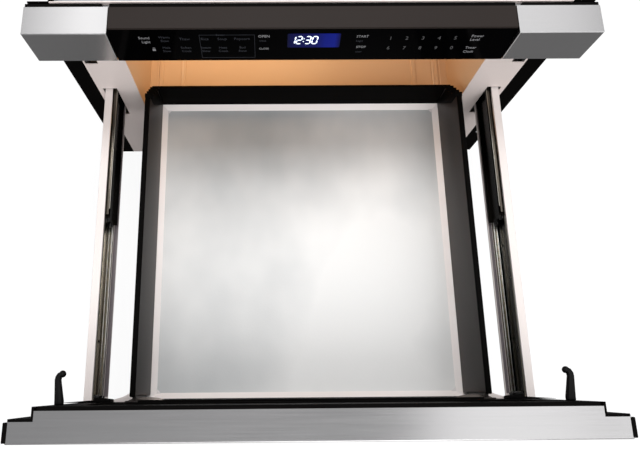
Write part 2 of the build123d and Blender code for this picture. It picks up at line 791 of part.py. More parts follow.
def drawer_bracket():
    """White channel that hangs on the drawer front and carries the outer runner member."""
    y = (door_back_y, face_y + bracket_inside)
    z = (bracket_bottom_z, bracket_top_z)
    x = (bracket_outer_x - bracket_bottom_leg, bracket_outer_x)
    channel = block((x[1] - bracket_sheet, x[1]), y, z)
    channel += block((x[0], x[1]), y, (z[0], z[0] + bracket_sheet))
    channel += block((x[1] - bracket_top_leg, x[1]), y, (z[1] - bracket_sheet, z[1]))
    channel += block((x[0], x[1]), (y[0], y[0] + bracket_sheet), z)
    gusset_end_x = bowl_half + seat_gap
    gusset = [(x[0], y[0]), (gusset_end_x, y[0]), (gusset_end_x, y[0] + gusset_depth), (x[0], y[0] + 2)]
    channel += plan_profile(gusset, (z[0], z[0] + bracket_sheet))
    corner = channel.edges().filter_by(Axis.Y).group_by(Axis.X)[-1]
    return fillet(corner, 1.0)


def gear_outline(teeth, module, slack):
    """Involute outline of a gear in its own plane, with the flanks thinned by slack."""
    pitch_r = module * teeth / 2
    base_r = pitch_r * cos(radians(pressure_angle))
    root_r = pitch_r - 1.25 * module
    tip_r = pitch_r + module
    low_r = max(base_r, root_r)
    at_pitch = tan(radians(pressure_angle)) - radians(pressure_angle)
    half_base = pi / (2 * teeth) - slack / (4 * pitch_r) + at_pitch
    steps = 4
    flank = [(root_r, half_base)]
    for step in range(steps + 1):
        r = low_r + (tip_r - low_r) * step / steps
        roll = sqrt((r / base_r) ** 2 - 1)
        flank.append((r, half_base - (roll - atan2(roll, 1))))
    outline = []
    for tooth in range(teeth):
        middle = 2 * pi * tooth / teeth
        outline += [(r * cos(middle - angle), r * sin(middle - angle)) for r, angle in flank]
        outline += [(r * cos(middle + angle), r * sin(middle + angle)) for r, angle in reversed(flank)]
    return outline


def drive_pinion():
    """Drive pinion on its shaft; one tooth points up into a space of the rack."""
    y0 = face_y + drive_y
    points = [(y0 - across, pinion_z + up) for up, across in gear_outline(pinion_teeth, gear_module, backlash)]
    gear = side_profile(points, rack_x)
    shaft = rod(shaft_radius, "x", gearbox_x[1] - 8, rack_x[1], (y0, pinion_z))
    return gear + shaft


def drive_rack():
    """Rack under the right bracket, as long as the drawer's travel."""
    pitch = pi * gear_module
    root = bracket_bottom_z - rack_back
    pitch_z = root - 1.25 * gear_module
    tip = pitch_z - gear_module
    half_tooth = pitch / 4 - backlash / 4
    to_root = 1.25 * gear_module * tan(radians(pressure_angle))
    to_tip = gear_module * tan(radians(pressure_angle))
    y0 = face_y + drive_y
    ahead = int((travel + pitch) / pitch) + 1
    start = y0 - ahead * pitch
    end = y0 + pitch
    points = [(start, bracket_bottom_z), (start, root)]
    for tooth in range(ahead + 1):
        middle = start + (tooth + 0.5) * pitch
        points += [(middle - half_tooth - to_root, root), (middle - half_tooth + to_tip, tip),
                   (middle + half_tooth - to_tip, tip), (middle + half_tooth + to_root, root)]
    points += [(end, root), (end, bracket_bottom_z)]
    return side_profile(points, rack_x)


def drive_gearbox():
    """Gearbox bolted to the cavity's side, with the bearing of the pinion shaft."""
    y0 = face_y + drive_y
    box = block(gearbox_x, (y0 - 24, y0 + 24), (motor_z - motor_radius - 2, pinion_z + 16))
    box = fillet(box.edges().filter_by(Axis.X), 6)
    return box - rod(shaft_radius + 0.1, "x", gearbox_x[1] - 9, gearbox_x[1] + 1, (y0, pinion_z))


def drive_motor():
    """Geared motor beside the gearbox, under the cavity floor."""
    y0 = face_y + drive_y
    end_x = gearbox_x[0] - motor_length
    can = rod(motor_radius, "x", end_x, gearbox_x[0], (y0, motor_z))
    return can + rod(motor_radius / 3, "x", end_x - 4, end_x, (y0, motor_z))


def latch_switches():
    """Two switch blocks behind the latch slots, on the chassis side."""
    x = (half_body - sheet - switch_plate, half_body - sheet)
    reach = switch_gap / 2 + switch_height
    start = face_y + hook_thick * 1.5
    bracket = block(x, (face_y + face_plate, start + switch_length + 4), (hook_z - reach - 2, hook_z + reach + 2))
    for z in ((hook_z - reach, hook_z - switch_gap / 2), (hook_z + switch_gap / 2, hook_z + reach)):
        bracket += block((x[0] - switch_depth, x[0]), (start, start + switch_length), z)
    return both_sides(bracket)


# ---------------------------------------------------------------- drawer: front
def front_skin():
    """Stainless outer shell of the drawer front with its edges turned back."""
    x = (-skin_width / 2, skin_width / 2)
    y = (door_front_y, skin_back_y)
    z = (-front_drop, door_top_z)
    skin = block(x, y, z)
    skin = fillet(skin.edges().group_by(Axis.Y)[0], edge_radius)
    skin -= block((x[0] + sheet, x[1] - sheet), (y[0] + sheet, y[1] - sheet), (z[0] + sheet, z[1] - sheet))
    hole = pan_width / 2 - 3
    return skin - block((-hole, hole), (y[1] - 2 * sheet, y[1]), (pan_low_z + 3, z[1] - sheet))


def side_trim():
    """Black strip on the right edge of the drawer front."""
    x = (skin_width / 2, front_width / 2)
    y = (door_front_y + trim_setback, skin_back_y - trim_setback)
    strip = block(x, y, (-front_drop + trim_end_gap, door_top_z - trim_end_gap))
    return fillet(strip.edges().filter_by(Axis.Z).group_by(Axis.X)[-1], 1.0)


def door_pan():
    """Stainless pan that closes the back of the skin."""
    half = pan_width / 2
    pan = block((-half, half), (skin_back_y, pan_back_y), (pan_low_z, door_top_z))
    inside = block((-half + sheet, half - sheet), (skin_back_y, pan_back_y - sheet),
                   (pan_low_z + sheet, door_top_z - sheet))
    return pan - inside


def choke_cover():
    """Black plate on the back of the front, with the raised frame that seals the cavity."""
    half = pan_width / 2 - 0.5
    z = (pan_low_z + 0.5, door_top_z - 0.5)
    cover = block((-half, half), (pan_back_y, door_back_y), z)
    cover = fillet(cover.edges().filter_by(Axis.Y), 4)
    rim = 32.0
    recess = block((-half + rim, half - rim), (door_back_y - 1.5, door_back_y), (z[0] + rim, tray_bottom_z - 4))
    upper = block((-half + rim, half - rim), (door_back_y - 1.5, door_back_y), (bowl_top_z + 6, z[1] - rim))
    return cover - recess - upper


# ---------------------------------------------------------------- drawer: bowl
def bowl_side():
    """Right side wall of the bowl, sloping down to the low back wall."""
    outer = bowl_half
    inner_top = outer - bowl_rim
    inner_foot = inner_top - bowl_draft
    section = [(outer, tray_top_z), (outer, bowl_top_z), (inner_top, bowl_top_z), (inner_foot, tray_top_z)]
    wall = front_profile(section, (door_back_y, bowl_rear_outer_y))
    rear_top_y = bowl_rear_inner_y + bowl_back_lean
    outside = [(bowl_rear_inner_y, tray_top_z), (rear_top_y, bowl_back_z),
               (face_y - bowl_shoulder_y, bowl_top_z), (face_y - bowl_shoulder_y, bowl_top_z + 5),
               (bowl_rear_outer_y + 5, bowl_top_z + 5), (bowl_rear_outer_y + 5, tray_top_z)]
    wall -= side_profile(outside, (inner_foot - 5, outer + 5))
    foot_low_z = bracket_bottom_z + bracket_sheet + seat_gap
    foot = block((inner_foot, outer + 7), (door_back_y, door_back_y + 6), (foot_low_z, bowl_top_z - 2))
    return wall + foot


def bowl_rear():
    """Low back wall between the side walls' ends."""
    rear_top_y = bowl_rear_inner_y + bowl_back_lean
    points = [(bowl_rear_inner_y, tray_top_z), (rear_top_y, bowl_back_z),
              (bowl_rear_outer_y, bowl_back_z), (bowl_rear_outer_y, tray_top_z)]
    return side_profile(points, (-bowl_half, bowl_half))


def bowl_front():
    """Black splash plate on the choke cover, between the side walls."""
    half = bowl_half - bowl_rim - bowl_draft - seat_gap
    y = (door_back_y, door_back_y + bowl_front_thick)
    return block((-half, half), y, (tray_top_z, bowl_top_z))


def floor_tray():
    """White frame of the drawer floor, with a sloping cove round the ceramic plate."""
    y = (door_back_y, bowl_rear_outer_y)
    tray = block((-bowl_half, bowl_half), y, (tray_bottom_z, tray_top_z))
    foot = bowl_half - bowl_rim - bowl_draft
    low_y = (door_back_y + bowl_front_thick + tray_cove, bowl_rear_inner_y - tray_cove)
    high_y = (door_back_y + bowl_front_thick, bowl_rear_inner_y)
    low = Pos(0, sum(low_y) / 2, tray_pocket_z) * Rectangle(2 * (foot - tray_cove), low_y[1] - low_y[0])
    high = Pos(0, sum(high_y) / 2, tray_top_z) * Rectangle(2 * foot, high_y[1] - high_y[0])
    tray -= loft([low, high], ruled=True)
    seat = foot - tray_cove + ceramic_margin + seat_gap
    tray -= block((-seat, seat), (low_y[0] - ceramic_margin - seat_gap, low_y[1] + ceramic_margin + seat_gap),
                  (tray_pocket_z - ceramic_thick, tray_pocket_z))
    ledge = foot - tray_cove - ceramic_margin
    return tray - block((-ledge, ledge), (low_y[0] + ceramic_margin, low_y[1] - ceramic_margin),
                        (tray_bottom_z, tray_pocket_z - ceramic_thick))


def ceramic_plate():
    """Frosted glass-ceramic floor of the drawer."""
    foot = bowl_half - bowl_rim - bowl_draft
    half = foot - tray_cove + ceramic_margin
    y = (door_back_y + bowl_front_thick + tray_cove - ceramic_margin, bowl_rear_inner_y - tray_cove + ceramic_margin)
    return block((-half, half), y, (tray_pocket_z - ceramic_thick, tray_pocket_z))


# ---------------------------------------------------------------- drawer: interlock hook
def latch_hook():
    """Black hook on the back of the front that works the right switch block."""
    y0 = door_back_y
    half = hook_width / 2
    x = hook_x
    points = [(x - half, y0), (x + half + 1.5, y0), (x + half, y0 + hook_length - 8),
              (x + half - 3, y0 + hook_length - 1), (x - half - 1, y0 + hook_length),
              (x - half - 4.5, y0 + hook_length - 4), (x - half - 3.8, y0 + hook_length - 8),
              (x - half, y0 + hook_length - 9)]
    hook = plan_profile(points, (hook_z - hook_thick / 2, hook_z + hook_thick / 2))
    return hook + block((x - 7, x + 7), (y0, y0 + 2), (hook_z - 12, hook_z + 12))


save("base_plate", base_plate())
save("outer_wrapper", outer_wrapper())
save("rear_panel", rear_panel())
save("face_frame", face_frame())
save("side_flange_right", side_flange())
save("side_flange_left", mirrored(side_flange()))
save("cavity_shell", cavity_shell())
save("cavity_floor", cavity_floor())
save("antenna_cover", antenna_cover())
save("antenna_well", antenna_well())
save("waveguide", waveguide())
save("antenna", antenna())
save("antenna_motor", antenna_motor())
save("magnetron", magnetron())
save("transformer_core", transformer_core())
save("transformer_winding", transformer_winding())
save("hv_capacitor", hv_capacitor())
save("fan_housing", fan_housing())
save("fan_wheel", fan_wheel())
save("cavity_lamp", cavity_lamp())
save("lamp_bulb", lamp_bulb())
save("power_board", power_board())
save("power_inlet", power_inlet())
save("control_housing", control_housing())
save("touch_glass", touch_glass())
save("end_cap_right", end_cap())
save("end_cap_left", mirrored(end_cap()))
save("display_module", display_module())
save("control_board", control_board())
save("panel_gasket", panel_gasket())
save("panel_bracket", panel_bracket())
save("rail_supports", both_sides(rail_support()))
for name, make in (("fixed_rail", fixed_rail), ("middle_rail", middle_rail), ("rail_stop", rail_stop),
                   ("drawer_rail", drawer_rail), ("drawer_bracket", drawer_bracket),
                   ("latch_hook", latch_hook), ("bowl_side", bowl_side)):
    save(name + "_right", make())
    save(name + "_left", mirrored(make()))
save("drive_motor", drive_motor())
save("drive_gearbox", drive_gearbox())
save("drive_pinion", drive_pinion())
save("drive_rack", drive_rack())
save("latch_switches", latch_switches())
save("front_skin", front_skin())
save("side_trims", both_sides(side_trim()))
save("door_pan", door_pan())
save("choke_cover", choke_cover())
save("bowl_rear", bowl_rear())
save("bowl_front", bowl_front())
save("floor_tray", floor_tray())
save("ceramic_plate", ceramic_plate())
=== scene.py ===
"""Looks of the built-in microwave drawer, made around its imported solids. Metres, +Z up, front towards -Y."""
from math import atan2, radians, sin

import bpy
from mathutils import Matrix, Vector


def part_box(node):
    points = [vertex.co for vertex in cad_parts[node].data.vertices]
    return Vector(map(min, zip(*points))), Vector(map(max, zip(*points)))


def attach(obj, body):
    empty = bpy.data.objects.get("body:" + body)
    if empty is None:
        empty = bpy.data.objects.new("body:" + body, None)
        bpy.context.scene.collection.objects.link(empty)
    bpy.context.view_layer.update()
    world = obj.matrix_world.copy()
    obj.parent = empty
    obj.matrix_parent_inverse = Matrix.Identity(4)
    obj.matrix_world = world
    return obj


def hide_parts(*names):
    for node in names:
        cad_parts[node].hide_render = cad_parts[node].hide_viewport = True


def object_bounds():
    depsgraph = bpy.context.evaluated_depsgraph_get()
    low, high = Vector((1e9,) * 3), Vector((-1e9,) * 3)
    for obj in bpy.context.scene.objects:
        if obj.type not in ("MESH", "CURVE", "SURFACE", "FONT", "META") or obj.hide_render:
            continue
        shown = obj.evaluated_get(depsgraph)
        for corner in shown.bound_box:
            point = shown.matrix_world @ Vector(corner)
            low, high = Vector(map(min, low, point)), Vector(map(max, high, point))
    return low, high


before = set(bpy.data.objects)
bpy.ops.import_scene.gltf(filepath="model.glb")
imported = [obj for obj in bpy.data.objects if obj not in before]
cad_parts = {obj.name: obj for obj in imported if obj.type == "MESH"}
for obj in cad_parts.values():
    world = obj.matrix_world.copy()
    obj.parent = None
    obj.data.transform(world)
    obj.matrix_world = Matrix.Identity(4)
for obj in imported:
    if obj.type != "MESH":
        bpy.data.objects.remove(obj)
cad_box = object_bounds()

# -------- camera
# The camera looks steeply down over the control panel into the open drawer. Its place, turn and lens were
# fitted to the object's edges; the shift keeps the drawer off the picture's middle as in the photograph.


def deselect():
    """Leave nothing selected, before a new piece is begun."""
    bpy.ops.object.select_all(action="DESELECT")


camera_place = Vector((-0.0487, -0.6713, 0.9102))
camera_right = Vector((0.99995, -0.00851, 0.00551))
camera_down = Vector((-0.00685, -0.96755, -0.25257))
camera_ahead = Vector((0.00748, 0.25252, -0.96756))
deselect()
bpy.ops.object.camera_add(location=camera_place)
camera = bpy.context.object
camera.name = "camera"
camera.rotation_euler = Matrix((camera_right, -camera_down, -camera_ahead)).transposed().to_euler()
camera.data.sensor_width = 36
camera.data.lens = 32.2
camera.data.shift_x = 0.0745
camera.data.shift_y = 0.0202
bpy.context.scene.camera = camera
bpy.context.scene.view_settings.view_transform = "Standard"

# -------- floor and light
# A plain floor and background that show white. Flat lamps under the ceiling light the appliance from the right
# and the back, and soft ones from the front, the left and above. Mirrors see only part of the white.
floor_z, floor_size, floor_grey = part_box("front_skin")[0].z - 0.0005, 14, (0.10, 0.10, 0.10, 1)
room_glow, floor_glow, mirrored_white = 0.42, 0.9, 0.12


def show_white(nodes, links, plain, white, surface):
    """Show the white shader straight on, through glass and in part to mirrors, and the plain one to all else."""
    ray = nodes.new("ShaderNodeLightPath")
    straight = nodes.new("ShaderNodeMath")
    straight.operation = "MAXIMUM"
    links.new(ray.outputs["Is Camera Ray"], straight.inputs[0])
    links.new(ray.outputs["Is Transmission Ray"], straight.inputs[1])
    mirrored = nodes.new("ShaderNodeMath")
    mirrored.operation = "MULTIPLY_ADD"
    links.new(ray.outputs["Is Glossy Ray"], mirrored.inputs[0])
    mirrored.inputs[1].default_value = mirrored_white
    links.new(straight.outputs[0], mirrored.inputs[2])
    shown = nodes.new("ShaderNodeMixShader")
    for source, socket in zip((mirrored, plain, white), shown.inputs):
        links.new(source.outputs[0], socket)
    links.new(shown.outputs[0], surface)


bpy.ops.mesh.primitive_plane_add(size=floor_size, location=(0, 0, floor_z))
floor = bpy.context.object
floor.name = "floor"
white_floor = bpy.data.materials.new("white_floor")
white_floor.use_nodes = True
nodes, links = white_floor.node_tree.nodes, white_floor.node_tree.links
nodes["Principled BSDF"].inputs["Base Color"].default_value = floor_grey
nodes["Principled BSDF"].inputs["Roughness"].default_value = 0.9
glow = nodes.new("ShaderNodeEmission")
glow.inputs["Color"].default_value = (1, 1, 1, 1)
glow.inputs["Strength"].default_value = floor_glow
lit = nodes.new("ShaderNodeAddShader")
links.new(nodes["Principled BSDF"].outputs[0], lit.inputs[0])
links.new(glow.outputs[0], lit.inputs[1])
show_white(nodes, links, nodes["Principled BSDF"], lit, nodes["Material Output"].inputs["Surface"])
floor.data.materials.append(white_floor)

world = bpy.data.worlds.new("room")
bpy.context.scene.world = world
world.use_nodes = True
nodes, links = world.node_tree.nodes, world.node_tree.links
nodes["Background"].inputs["Color"].default_value = (0.97, 0.98, 1.0, 1)
nodes["Background"].inputs["Strength"].default_value = room_glow
white_back = nodes.new("ShaderNodeBackground")
white_back.inputs["Color"].default_value = (1, 1, 1, 1)
show_white(nodes, links, nodes["Background"], white_back, nodes["World Output"].inputs["Surface"])


def soft_lamp(name, place, aim, size, power):
    """A square area lamp turned towards a point."""
    bpy.ops.object.light_add(type="AREA", location=place)
    lamp = bpy.context.object
    lamp.name = name
    lamp.data.size = size
    lamp.data.energy = power
    lamp.rotation_euler = (Vector(aim) - Vector(place)).to_track_quat("-Z", "Y").to_euler()
    return lamp


def lamp_panel(name, x, y, z, watts):
    """A flat lamp under the ceiling, between two x and two y, shining straight down."""
    place = (sum(x) / 2, sum(y) / 2, z)
    lamp = soft_lamp(name, place, (place[0], place[1], 0), x[1] - x[0], watts * (x[1] - x[0]) * (y[1] - y[0]))
    lamp.data.shape = "RECTANGLE"
    lamp.data.size_y = y[1] - y[0]


lamp_panel("lamp_right_near", (0.64, 1.42), (-2.9, 0.3), 2.4, 4.0)
lamp_panel("lamp_right_far", (1.51, 3.8), (-2.9, 0.3), 2.4, 4.0)
lamp_panel("lamp_back", (-1.3, 1.7), (0.5, 2.6), 2.4, 3.6)
lamp_panel("lamp_strip", (-1.0, -0.88), (0.5, 2.4), 2.38, 5.5)
soft_lamp("lamp_front", (0.1, -2.6, 3.3), (0, -0.4, 0.2), 2.4, 48)
soft_lamp("lamp_left", (-2.2, -1.1, 0.8), (-0.1, -0.3, 0.1), 1.4, 13)
soft_lamp("lamp_over", (-0.1, 0.1, 2.4), (-0.1, 0.0, 0), 0.6, 17)
soft_lamp("lamp_low", (0.6, -3.4, 1.3), (0, -0.3, 0.25), 1.6, 27)

# -------- sheet-metal chassis
# Folded steel sheet: the face is powder-coated cream white, the flanges beside it are black, and the
# wrapper, base, back and brackets are bare galvanised sheet with its faint crystal pattern.


def finish(name, colour, metallic, roughness, specular=0.5):
    """A new surface finish; returns the material, its nodes, its links and its shader."""
    material = bpy.data.materials.new(name)
    material.use_nodes = True
    shader = material.node_tree.nodes["Principled BSDF"]
    for socket, value in (("Base Color", (*colour, 1)), ("Metallic", metallic), ("Roughness", roughness),
                          ("Specular IOR Level", specular)):
        shader.inputs[socket].default_value = value
    return material, material.node_tree.nodes, material.node_tree.links, shader


def grain(nodes, links, scale, detail=2.0):
    """A noise over the object's own coordinates, with its scale along each axis."""
    place = nodes.new("ShaderNodeTexCoord")
    scaled = nodes.new("ShaderNodeMapping")
    scaled.inputs["Scale"].default_value = scale
    noise = nodes.new("ShaderNodeTexNoise")
    noise.inputs["Scale"].default_value = 1.0
    noise.inputs["Detail"].default_value = detail
    links.new(place.outputs["Object"], scaled.inputs["Vector"])
    links.new(scaled.outputs["Vector"], noise.inputs["Vector"])
    return noise.outputs["Fac"]


noise_low, noise_high = 0.3, 0.7


def ramp(nodes, links, source, start, end, low=0.0, high=1.0, easing="LINEAR"):
    """A value that runs from low to high while its source runs from start to end."""
    limits = nodes.new("ShaderNodeMapRange")
    limits.interpolation_type = easing
    for socket, value in (("From Min", start), ("From Max", end), ("To Min", low), ("To Max", high)):
        limits.inputs[socket].default_value = value
    links.new(source, limits.inputs["Value"])
    return limits.outputs["Result"]


def spread(nodes, links, source, low, high):
    """A value between low and high that follows a noise, over the span where most of the noise lies."""
    return ramp(nodes, links, source, noise_low, noise_high, low, high)


def two_tone(nodes, links, source, first, second):
    """A colour between two that follows a noise."""
    blend = nodes.new("ShaderNodeMix")
    blend.data_type = "RGBA"
    blend.inputs[6].default_value = (*first, 1)
    blend.inputs[7].default_value = (*second, 1)
    links.new(spread(nodes, links, source, 0.0, 1.0), blend.inputs["Factor"])
    return blend.outputs[2]


def relief(nodes, links, source, shader, height, strength):
    """Small bumps that follow a noise."""
    bump = nodes.new("ShaderNodeBump")
    bump.inputs["Distance"].default_value = height
    bump.inputs["Strength"].default_value = strength
    links.new(source, bump.inputs["Height"])
    links.new(bump.outputs["Normal"], shader.inputs["Normal"])


def dress(material, *names):
    """Give a finish to CAD pieces."""
    for name in names:
        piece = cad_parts[name]
        piece.data.materials.clear()
        piece.data.materials.append(material)


def powder_coat(name, colour, roughness, specular=0.5, tint=0.93):
    """Sprayed and baked paint: slightly cloudy, with a fine orange-peel skin."""
    material, nodes, links, shader = finish(name, colour, 0.0, roughness, specular)
    cloudy = grain(nodes, links, (7, 7, 7))
    second = tuple(tint * c for c in colour)
    links.new(two_tone(nodes, links, cloudy, colour, second), shader.inputs["Base Color"])
    relief(nodes, links, grain(nodes, links, (900, 900, 900)), shader, 0.0002, 0.2)
    return material


def galvanised(name, colour, dull):
    """Zinc-coated sheet: grey crystals of slightly different shine."""
    material, nodes, links, shader = finish(name, colour, 0.8, 0.42)
    place = nodes.new("ShaderNodeTexCoord")
    crystals = nodes.new("ShaderNodeTexVoronoi")
    crystals.inputs["Scale"].default_value = 170
    links.new(place.outputs["Object"], crystals.inputs["Vector"])
    split = nodes.new("ShaderNodeSeparateColor")
    links.new(crystals.outputs["Color"], split.inputs["Color"])
    links.new(two_tone(nodes, links, split.outputs["Red"], colour, dull), shader.inputs["Base Color"])
    links.new(spread(nodes, links, split.outputs["Green"], 0.38, 0.46), shader.inputs["Roughness"])
    return material


zinc_sheet = galvanised("zinc_sheet", (0.40, 0.408, 0.417), (0.35, 0.358, 0.37))
dress(powder_coat("chassis_white", (0.90, 0.79, 0.75), 0.42), "face_frame")
dress(powder_coat("flange_black", (0.0018, 0.0014, 0.0012), 0.6, 0.02), "side_flange_left", "side_flange_right")
dress(zinc_sheet, "outer_wrapper", "base_plate", "rear_panel", "panel_bracket", "rail_supports", "antenna_well",
      "cavity_lamp")

# -------- cavity
# Steel box in cream enamel, whose colour is painted orange in part as painted light of its bulb, with a mica sheet
# over the antenna in its floor. The bulb behind the right wall lights it orange; a small lamp under the roof
# stands in for the bulb.
# The ribs' enamel, painted lighter than the floor's and orange in part as painted light of the bulb.
rib_enamel_lighter = powder_coat("rib_enamel_lighter", (0.95, 0.72, 0.48), 0.3)
# Cream enamel painted orange in part: painted light of the bulb.
dress(powder_coat("cavity_enamel", (0.84, 0.61, 0.39), 0.3), "cavity_shell", "cavity_floor")
dress(powder_coat("mica", (0.60, 0.52, 0.40), 0.5), "antenna_cover")
dress(powder_coat("lamp_glass", (0.9, 0.85, 0.7), 0.1), "lamp_bulb")
oven_light = soft_lamp("oven_light", (-0.09, -0.06, 0.305), (-0.09, -0.06, 0), 0.3, 0.4)
oven_light.data.color = (1.0, 0.68, 0.36)

# -------- control panel case
# Brushed stainless end caps on a dark bronze-brown painted case. Black rubber strips seal the panel to the
# cabinet, and the same black is on the drawer's moulded pieces.
scratch_depth, scratch_strength, scratch_shade = 0.00002, 0.07, 0.95


def brushed_steel(name, colour, across, roughness=0.3):
    """Stainless sheet brushed in one direction; across is the noise's scale along each axis."""
    material, nodes, links, shader = finish(name, colour, 1.0, roughness)
    fine = grain(nodes, links, across, 3.0)
    dark = tuple(scratch_shade * c for c in colour)
    links.new(two_tone(nodes, links, fine, dark, colour), shader.inputs["Base Color"])
    links.new(spread(nodes, links, fine, roughness - 0.015, roughness + 0.02), shader.inputs["Roughness"])
    relief(nodes, links, fine, shader, scratch_depth, scratch_strength)
    return material


stainless = brushed_steel("stainless", (0.445, 0.439, 0.441), (12, 850, 850), 0.21)
dress(stainless, "end_cap_left", "end_cap_right", "front_skin", "door_pan")
dress(powder_coat("housing_brown", (0.019, 0.0135, 0.0115), 0.5, 0.15), "control_housing")
seal_black = powder_coat("seal_black", (0.0018, 0.0015, 0.0014), 0.6, 0.03)
dress(seal_black, "panel_gasket", "side_trims", "choke_cover", "bowl_front", "bowl_rear", "rail_stop_left",
      "rail_stop_right", "latch_hook_left", "latch_hook_right")

# -------- touch glass
# One pane of black-backed glass, held in the case and leaning back. It is polished, with faint marks of wiping
# in its gloss.
black_glass, nodes, links, shader = finish("black_glass", (0.0006, 0.0006, 0.0007), 0.0, 0.07, 0.012)
links.new(spread(nodes, links, grain(nodes, links, (30, 30, 30)), 0.05, 0.09), shader.inputs["Roughness"])
dress(black_glass, "touch_glass")
glass_low, glass_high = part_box("touch_glass")
glass_points = [vertex.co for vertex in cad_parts["touch_glass"].data.vertices]
end_reach = 0.003
foot_y = min(point.y for point in glass_points if point.z < glass_low.z + end_reach)
head_y = min(point.y for point in glass_points if point.z > glass_high.z - end_reach)
glass_lean = atan2(head_y - foot_y, glass_high.z - glass_low.z)

# -------- printed keys
# The names and figures of the touch keys, screen-printed in pale ink in three strengths. The panel's own light
# shines faintly through them.
ink_thick = 0.00015


def pick(piece):
    """Select one piece alone and make it the active one."""
    deselect()
    piece.select_set(True)
    bpy.context.view_layer.objects.active = piece


def settle():
    """Apply the selected piece's place, turn and scale to its mesh."""
    bpy.ops.object.transform_apply(location=True, rotation=True, scale=True)


def lay_on_glass(piece, x, z):
    """Turn a flat piece drawn in the XY plane onto the glass, with its own origin at x, z."""
    glass_y = foot_y + (z - glass_low.z) * (head_y - foot_y) / (glass_high.z - glass_low.z)
    piece.rotation_euler = (radians(90) - glass_lean, 0, 0)
    piece.location = (x, glass_y - ink_thick, z)
    pick(piece)
    settle()


def printed(words, x, z, height, align="LEFT"):
    """Printed words on the glass, as a thin mesh."""
    deselect()
    bpy.ops.object.text_add()
    text = bpy.context.object
    text.data.body = words
    text.data.size = height
    text.data.extrude = ink_thick
    text.data.align_x = align
    text.data.align_y = "CENTER"
    text.data.resolution_u = 2
    bpy.ops.object.convert(target="MESH")
    text = bpy.context.object
    lay_on_glass(text, x, z)
    return text


def made(meshes, name, material=None):
    """One piece from its meshes, with its name and its finish."""
    pick(meshes[0])
    for mesh in meshes[1:]:
        mesh.select_set(True)
    if len(meshes) > 1:
        bpy.ops.object.join()
    meshes[0].name = name
    if material:
        meshes[0].data.materials.append(material)
    return meshes[0]


def ink(name, colour, glow):
    """Print that the panel's backlight shines through."""
    material, nodes, links, shader = finish(name, colour, 0.0, 0.5, 0.1)
    uneven = grain(nodes, links, (120, 120, 120))
    dim = tuple(0.8 * c for c in colour)
    tone = two_tone(nodes, links, uneven, colour, dim)
    links.new(tone, shader.inputs["Base Color"])
    links.new(tone, shader.inputs["Emission Color"])
    shader.inputs["Emission Strength"].default_value = glow
    return material


first_row, second_row = 0.3737, 0.3590
digit_x, digit_pitch, digit_height = 0.0837, 0.0173, 0.0068
bright_ink = ink("bright_ink", (0.17, 0.17, 0.175), 0.5)
grey_ink = ink("grey_ink", (0.07, 0.07, 0.072), 0.35)
faint_ink = ink("faint_ink", (0.022, 0.023, 0.028), 0.3)
digits = []
for column in range(5):
    x = digit_x + column * digit_pitch
    digits.append(printed(str(column + 1), x, first_row, digit_height, "CENTER"))
    digits.append(printed(str((column + 6) % 10), x, second_row, digit_height, "CENTER"))
bold_words = (("START", 0.0468, 0.3765, 0.0044), ("STOP", 0.0484, 0.3608, 0.0044), ("OPEN", -0.0578, 0.3772, 0.0048),
              ("CLOSE", -0.0572, 0.3588, 0.0036), ("Level", 0.1692, 0.3712, 0.0050),
              ("Power", 0.1692, 0.3764, 0.0050), ("Timer", 0.1680, 0.3590, 0.0048), ("Clock", 0.1672, 0.3530, 0.0048),
              ("Sound", -0.1790, 0.3755, 0.0048, "CENTER"), ("Light", -0.1778, 0.3695, 0.0048, "CENTER"))
faint_words = (("begin", 0.0470, 0.3700, 0.0036), ("clear", 0.0484, 0.3536, 0.0036),
               ("close", -0.0566, 0.3708, 0.0036), ("Sensor", -0.0976, 0.3795, 0.0034, "CENTER"))
bold = [printed(*word) for word in bold_words]
faint = [printed(*word) for word in faint_words]
word_columns = (-0.1576, -0.1362, -0.1148, -0.0962, -0.0750)
word_rows = (("Warm", "Thaw", "Rice", "Soup", "Popcorn"), ("Melt", "Soften", "Steam", "Heat", "Boil"))
word_height, pair_height, pair_half, word_drop = 0.0050, 0.0046, 0.0026, 0.0008
for row, (row_words, z) in enumerate(zip(word_rows, (first_row, second_row - word_drop))):
    for column, (word, x) in enumerate(zip(row_words, word_columns)):
        if row == 0 and column > 0:
            faint.append(printed(word, x, z, word_height, "CENTER"))
        else:
            faint.append(printed(word, x, z + pair_half, pair_height, "CENTER"))
            faint.append(printed("Cook" if column % 2 else "Slow", x, z - pair_half, pair_height, "CENTER"))


def printed_bar(low, high):
    """A thin flat bar of ink between two corners of x and z on the glass."""
    deselect()
    bpy.ops.mesh.primitive_cube_add(size=1)
    bar = bpy.context.object
    bar.scale = (high[0] - low[0], high[1] - low[1], ink_thick)
    settle()
    lay_on_glass(bar, (low[0] + high[0]) / 2, (low[1] + high[1]) / 2)
    return bar


lock_x, lock_z = -0.1712, 0.3578
lock_bars = (((-0.0017, -0.0015), (0.0017, 0.0009)), ((-0.0012, 0.0009), (-0.0007, 0.0026)),
             ((0.0007, 0.0009), (0.0012, 0.0026)), ((-0.0012, 0.0026), (0.0012, 0.0031)))
bold += [printed_bar((lock_x + low[0], lock_z + low[1]), (lock_x + high[0], lock_z + high[1]))
         for low, high in lock_bars]
left_foot, right_head, thin = (-0.1203, 0.3452), (-0.0614, 0.3797), 0.0004
group_bars = ((left_foot, (right_head[0], left_foot[1] + thin)), ((left_foot[0], right_head[1] - thin), right_head),
              (left_foot, (left_foot[0] + thin, right_head[1])), ((right_head[0] - thin, left_foot[1]), right_head))
faint += [printed_bar(low, high) for low, high in group_bars]
for meshes, name, shade in ((digits, "digit_print", grey_ink), (bold, "bold_print", bright_ink),
                            (faint, "faint_print", faint_ink)):
    print_mesh = made(meshes, name, shade)
    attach(print_mesh, "cabinet")

# -------- display
# A blue lit window with rounded corners, brightest towards its right end, shows the time in slanted seven-bar
# figures. Both lie as thin sheets on the glass.


